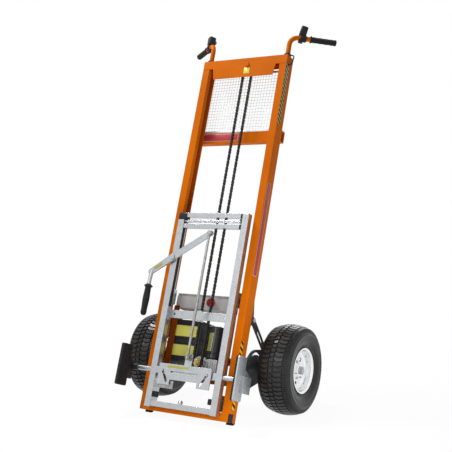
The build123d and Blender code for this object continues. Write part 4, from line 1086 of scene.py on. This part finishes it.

# carriage trim: a dark strip inside the left rail that is painted shade on its inner face, end blocks of
# the top bars, buffers on the base, cap on the left rail, screws, and the bend of the lever
trimShape = dict(
    stripLow=0.385, stripHigh=0.728, stripThick=0.0012, stripIn=0.005, stripSunk=0.0005,
    stripRound=0.0004, barEnds=((0.7305, 0.7465), (0.7105, 0.7275), (0.6885, 0.7065)),
    endWide=0.009, endProud=0.0004, endFront=0.0005, endBack=0.003, endRound=0.0012,
    baseBelow=0.10, bufferIn=(0.0195, 0.0005), bufferHigh=0.020, bufferSunk=0.001,
    bufferFront=0.004, bufferBack=0.006, bufferRound=0.003,
    capWide=0.035, capHigh=0.024, capThick=0.0012, capRound=0.0025,
    latchIn=0.018, latchScrew=0.0062, latchProud=0.0002, plateAcross=0.118,
    plateLevels=(0.353, 0.367), plateScrew=0.0034,
    bendRadius=0.0074, bendFrom=(-0.2235, 0.5150), kneeIn=0.001, kneeHigh=0.503, bendSunk=0.004,
    bendSteps=18,
)


def makeCarriageTrim():
    shape = trimShape
    low, high = mastBox("carriage_rails")
    inner = mastBox("cross_bars")[1].x
    forward = (0, -1, 0)
    # thin dark sheet on the inner face of the left rail: painted shade on that face
    strip = bmesh.new()
    addBlock(strip, (-inner - shape["stripSunk"], low.y + shape["stripIn"], shape["stripLow"]),
             (-inner + shape["stripThick"], high.y - shape["stripIn"], shape["stripHigh"]),
             shape["stripRound"])
    placePiece(strip, "railShadeStrip", "carriage", "gripRubber")
    ends = bmesh.new()
    for endLow, endHigh in shape["barEnds"]:
        addBlock(ends, (inner - shape["endWide"], low.y + shape["endFront"], endLow),
                 (inner + shape["endProud"], high.y - shape["endBack"], endHigh), shape["endRound"])
    levels = [(toMast @ point).z for point in nodePoints("cross_bars")]
    baseTop = max(level for level in levels if level < shape["baseBelow"])
    for side in (-1, 1):
        far, near = (side * (inner - inset) for inset in shape["bufferIn"])
        addBlock(ends, (far, low.y + shape["bufferFront"], baseTop - shape["bufferSunk"]),
                 (near, high.y - shape["bufferBack"], baseTop + shape["bufferHigh"]),
                 shape["bufferRound"], 3)
    thick = shape["capThick"]
    addBlock(ends, (low.x - thick, low.y - thick, high.z - shape["capHigh"]),
             (low.x + shape["capWide"], high.y + thick, high.z + thick), shape["capRound"], 3)
    placePiece(ends, "barEnds", "carriage", "blackPlastic")
    screws = bmesh.new()
    latchLow, latchHigh = mastBox("latch_plate")
    latchFace, latchLevel = latchLow.y + shape["latchProud"], (latchLow.z + latchHigh.z) / 2
    for x in (latchLow.x + shape["latchIn"], latchHigh.x - shape["latchIn"]):
        addDomeScrew(screws, along((x, latchFace, latchLevel), forward), shape["latchScrew"])
    plateFace = mastBox("mid_plate")[0].y
    for x in (-shape["plateAcross"], shape["plateAcross"]):
        for z in shape["plateLevels"]:
            addDomeScrew(screws, along((x, plateFace, z), forward), shape["plateScrew"])
    placePiece(screws, "carriageScrews", "carriage", "zincPlate")
    # the lever's outer end turns down into the grip
    gripLow, gripHigh = mastBox("lever_grip")
    x, y = (gripLow.x + gripHigh.x) / 2, (gripLow.y + gripHigh.y) / 2
    startX, startZ = shape["bendFrom"]
    first, last = Vector((startX, y, startZ)), Vector((x, y, gripHigh.z - shape["bendSunk"]))
    knee = Vector((x + shape["kneeIn"], y, shape["kneeHigh"]))
    points = []
    for step in range(shape["bendSteps"] + 1):
        share = step / shape["bendSteps"]
        points.append(first * (1 - share) ** 2 + knee * 2 * share * (1 - share) + last * share ** 2)
    tube = bmesh.new()
    addWire(tube, points, shape["bendRadius"], 20)
    placePiece(tube, "leverBend", "lever", "zincPlate", sharp=60.0)


makeCarriageTrim()

# weld seams: header on the uprights, and the carriage's bars on its rails
seamShape = dict(
    paintBead=0.0013, paintIn=0.002, barBead=0.0016, barLength=0.017, baseUp=0.003, topDown=0.022,
)
uprightLow, uprightHigh = mastBox("upright_right")


def makeSeams():
    shape = seamShape
    top = uprightHigh.z
    barLow, barHigh = mastBox("cross_bars")
    mastSeam, barSeam = bmesh.new(), bmesh.new()
    for side in (-1, 1):
        near, far = side * uprightLow.x, side * uprightHigh.x
        addWeld(mastSeam, (near, 0.0, top), (far, 0.0, top), shape["paintBead"])
        addWeld(mastSeam, (far, shape["paintIn"], top), (far, uprightHigh.y - shape["paintIn"], top),
                shape["paintBead"])
        across = side * barHigh.x
        for level in (barLow.z + shape["baseUp"], barHigh.z - shape["topDown"]):
            addWeld(barSeam, (across, barLow.y, level), (across, barLow.y, level + shape["barLength"]),
                    shape["barBead"])
    placePiece(mastSeam, "mastSeams", "mast", "orangePaint", sharp=60.0)
    placePiece(barSeam, "carriageSeams", "carriage", "zincPlate", sharp=60.0)


makeSeams()

# bare coloured panels and hazard strips; each is a thin rounded sheet on the face that carries it
sheetShape = dict(thick=0.0006, edgeThick=0.0004, corner=0.0022, bevel=0.0001)
camPinProud, leverPinProud = 0.016, 0.011  # pins stand this far in front of the plates
leverRise, leverRun = 0.667 - 0.569, 0.009 + 0.142  # from the lever's pivot to its eye
leverPlane = frontPlane @ Matrix.Rotation(math.atan2(leverRise, leverRun), 4, "Z")
sideX = uprightHigh.x
barFace = mastBox("mid_crossbar")[0].y
camFace = mastBox("cam_plate")[0].y + camPinProud
leverFace = mastBox("lever")[0].y + leverPinProud
panels = (  # name, finish, plane, middle, size, body
    ("stripeUpperRight", "hazardVinyl", sidePlane, (sideX, 0.0130, 1.247), (0.024, 0.248), "mast"),
    ("stripeLowRight", "footVinyl", sidePlane, (sideX, 0.0105, 0.2615), (0.018, 0.048), "mast"),
    ("stripeFootRight", "footVinyl", sidePlane, (sideX, 0.0200, 0.0640), (0.020, 0.040), "mast"),
    ("redStripEdge", "palePanel", sidePlane, (sideX, 0.0190, 0.7035), (0.0250, 0.356), "mast"),
    ("redPanelEdge", "palePanel", frontPlane, (-0.087, barFace, 1.0885), (0.171, 0.030), "mast"),
    ("redStripRight", "redPanel", sidePlane, (sideX, 0.0190, 0.7035), (0.022, 0.353), "mast"),
    ("redPanelCrossbar", "redPanel", frontPlane, (-0.087, barFace, 1.0885), (0.168, 0.027), "mast"),
    ("badgeHeader", "yellowPanel", frontPlane, (0.016, 0.0, 1.349), (0.026, 0.026), "mast"),
    ("oliveStripCam", "olivePanel", frontPlane, (-0.032, camFace, 0.1625), (0.090, 0.009), "cam"),
    ("olivePanelLever", "olivePanel", leverPlane, (-0.198, leverFace, 0.5320), (0.040, 0.011), "lever"),
)
for name, finish, plane, middle, size, body in panels:
    thick = sheetShape["edgeThick" if name.endswith("Edge") else "thick"]
    bm = bmesh.new()
    edge = roundedOutline(*size, sheetShape["corner"])
    addPlate(bm, edge, Matrix.Translation(middle) @ plane, thick, sheetShape["bevel"])
    placePiece(bm, name, body, finish)
print("panels made:", len(panels))

# white studio: floor and backdrop read as white, lamps at a plain level
studio = dict(
    ambient=0.23, floorTone=0.96, floorRough=0.9, floorShine=0.1, floorHalf=30, floorGlow=0.93,
    glowFrom=1.2, glowFull=4.0, aim=(0.0, 0.0, 0.55),
)
lamps = dict(
    key=dict(place=(-0.6, -4.2, 3.1), size=2.2, power=43.0, mirrored=True),
    fill=dict(place=(0.60, -0.64, 0.28), size=0.45, power=3.4, mirrored=False),
    back=dict(place=(-0.9, 3.5, 2.4), size=2.2, power=58.0, mirrored=True),
    top=dict(place=(-1.4, -0.20, 3.8), size=0.95, power=100.0, mirrored=True),
)
white = (1, 1, 1, 1)


def seenWhite(tree):  # one for rays that show the backdrop
    path = addNode(tree, "LightPath", {}).outputs
    either = maths(tree, "MAXIMUM", path["Is Camera Ray"], path["Is Glossy Ray"])
    return maths(tree, "MAXIMUM", either, path["Is Transmission Ray"])


world = bpy.data.worlds.new("studio")
scene.world = world
world.use_nodes = True
worldTree = world.node_tree
backdrop = worldTree.nodes["Background"]
backdrop.inputs["Color"].default_value = white
strength = maths(worldTree, "MAXIMUM", seenWhite(worldTree), studio["ambient"])
worldTree.links.new(strength, backdrop.inputs["Strength"])

floorMaterial, floorTree, floorShader, floorPoint = startFinish("floorWhite")
floorShader.inputs["Base Color"].default_value = (*grey(studio["floorTone"]), 1)
floorShader.inputs["Roughness"].default_value = studio["floorRough"]
floorShader.inputs["Specular IOR Level"].default_value = studio["floorShine"]
# far from the object the floor fades into the backdrop
reach = addNode(floorTree, "VectorMath", {0: floorPoint}, operation="LENGTH").outputs["Value"]
fadeSpan = {"From Min": studio["glowFrom"], "From Max": studio["glowFull"], "To Min": studio["floorGlow"]}
fade = addNode(floorTree, "MapRange", {"Value": reach, **fadeSpan}).outputs[0]
amount = maths(floorTree, "MULTIPLY", seenWhite(floorTree), fade)
glow = addNode(floorTree, "Emission", {"Color": white}).outputs[0]
blend = addNode(floorTree, "MixShader", {0: amount, 1: floorShader.outputs[0], 2: glow})
floorTree.links.new(blend.outputs[0], floorTree.nodes["Material Output"].inputs["Surface"])
floorMesh = bpy.data.meshes.new("floor")
half = studio["floorHalf"]
corners = [(-half, -half, 0), (half, -half, 0), (half, half, 0), (-half, half, 0)]
floorMesh.from_pydata(corners, [], [(0, 1, 2, 3)])
floorMesh.materials.append(floorMaterial)
floor = bpy.data.objects.new("floor", floorMesh)
scene.collection.objects.link(floor)

for name, lamp in lamps.items():
    data = bpy.data.lights.new(name, "AREA")
    data.size = lamp["size"]
    data.energy = lamp["power"]
    light = bpy.data.objects.new(name, data)
    scene.collection.objects.link(light)
    light.visible_camera = False
    light.visible_glossy = lamp["mirrored"]
    light.location = lamp["place"]
    toAim = Vector(studio["aim"]) - light.location
    light.rotation_euler = toAim.to_track_quat("-Z", "Y").to_euler()

cameraShape = dict(place=(1.671, -2.746, 0.799), tilt=88.01, turn=31.07, lens=67.0, sensor=36.0)
cameraData = bpy.data.cameras.new("camera")
cameraData.lens = cameraShape["lens"]
cameraData.sensor_width = cameraShape["sensor"]
camera = bpy.data.objects.new("camera", cameraData)
scene.collection.objects.link(camera)
camera.location = cameraShape["place"]
camera.rotation_euler = (math.radians(cameraShape["tilt"]), 0, math.radians(cameraShape["turn"]))
scene.camera = camera
scene.view_settings.view_transform = "Standard"
print("studio and camera set")
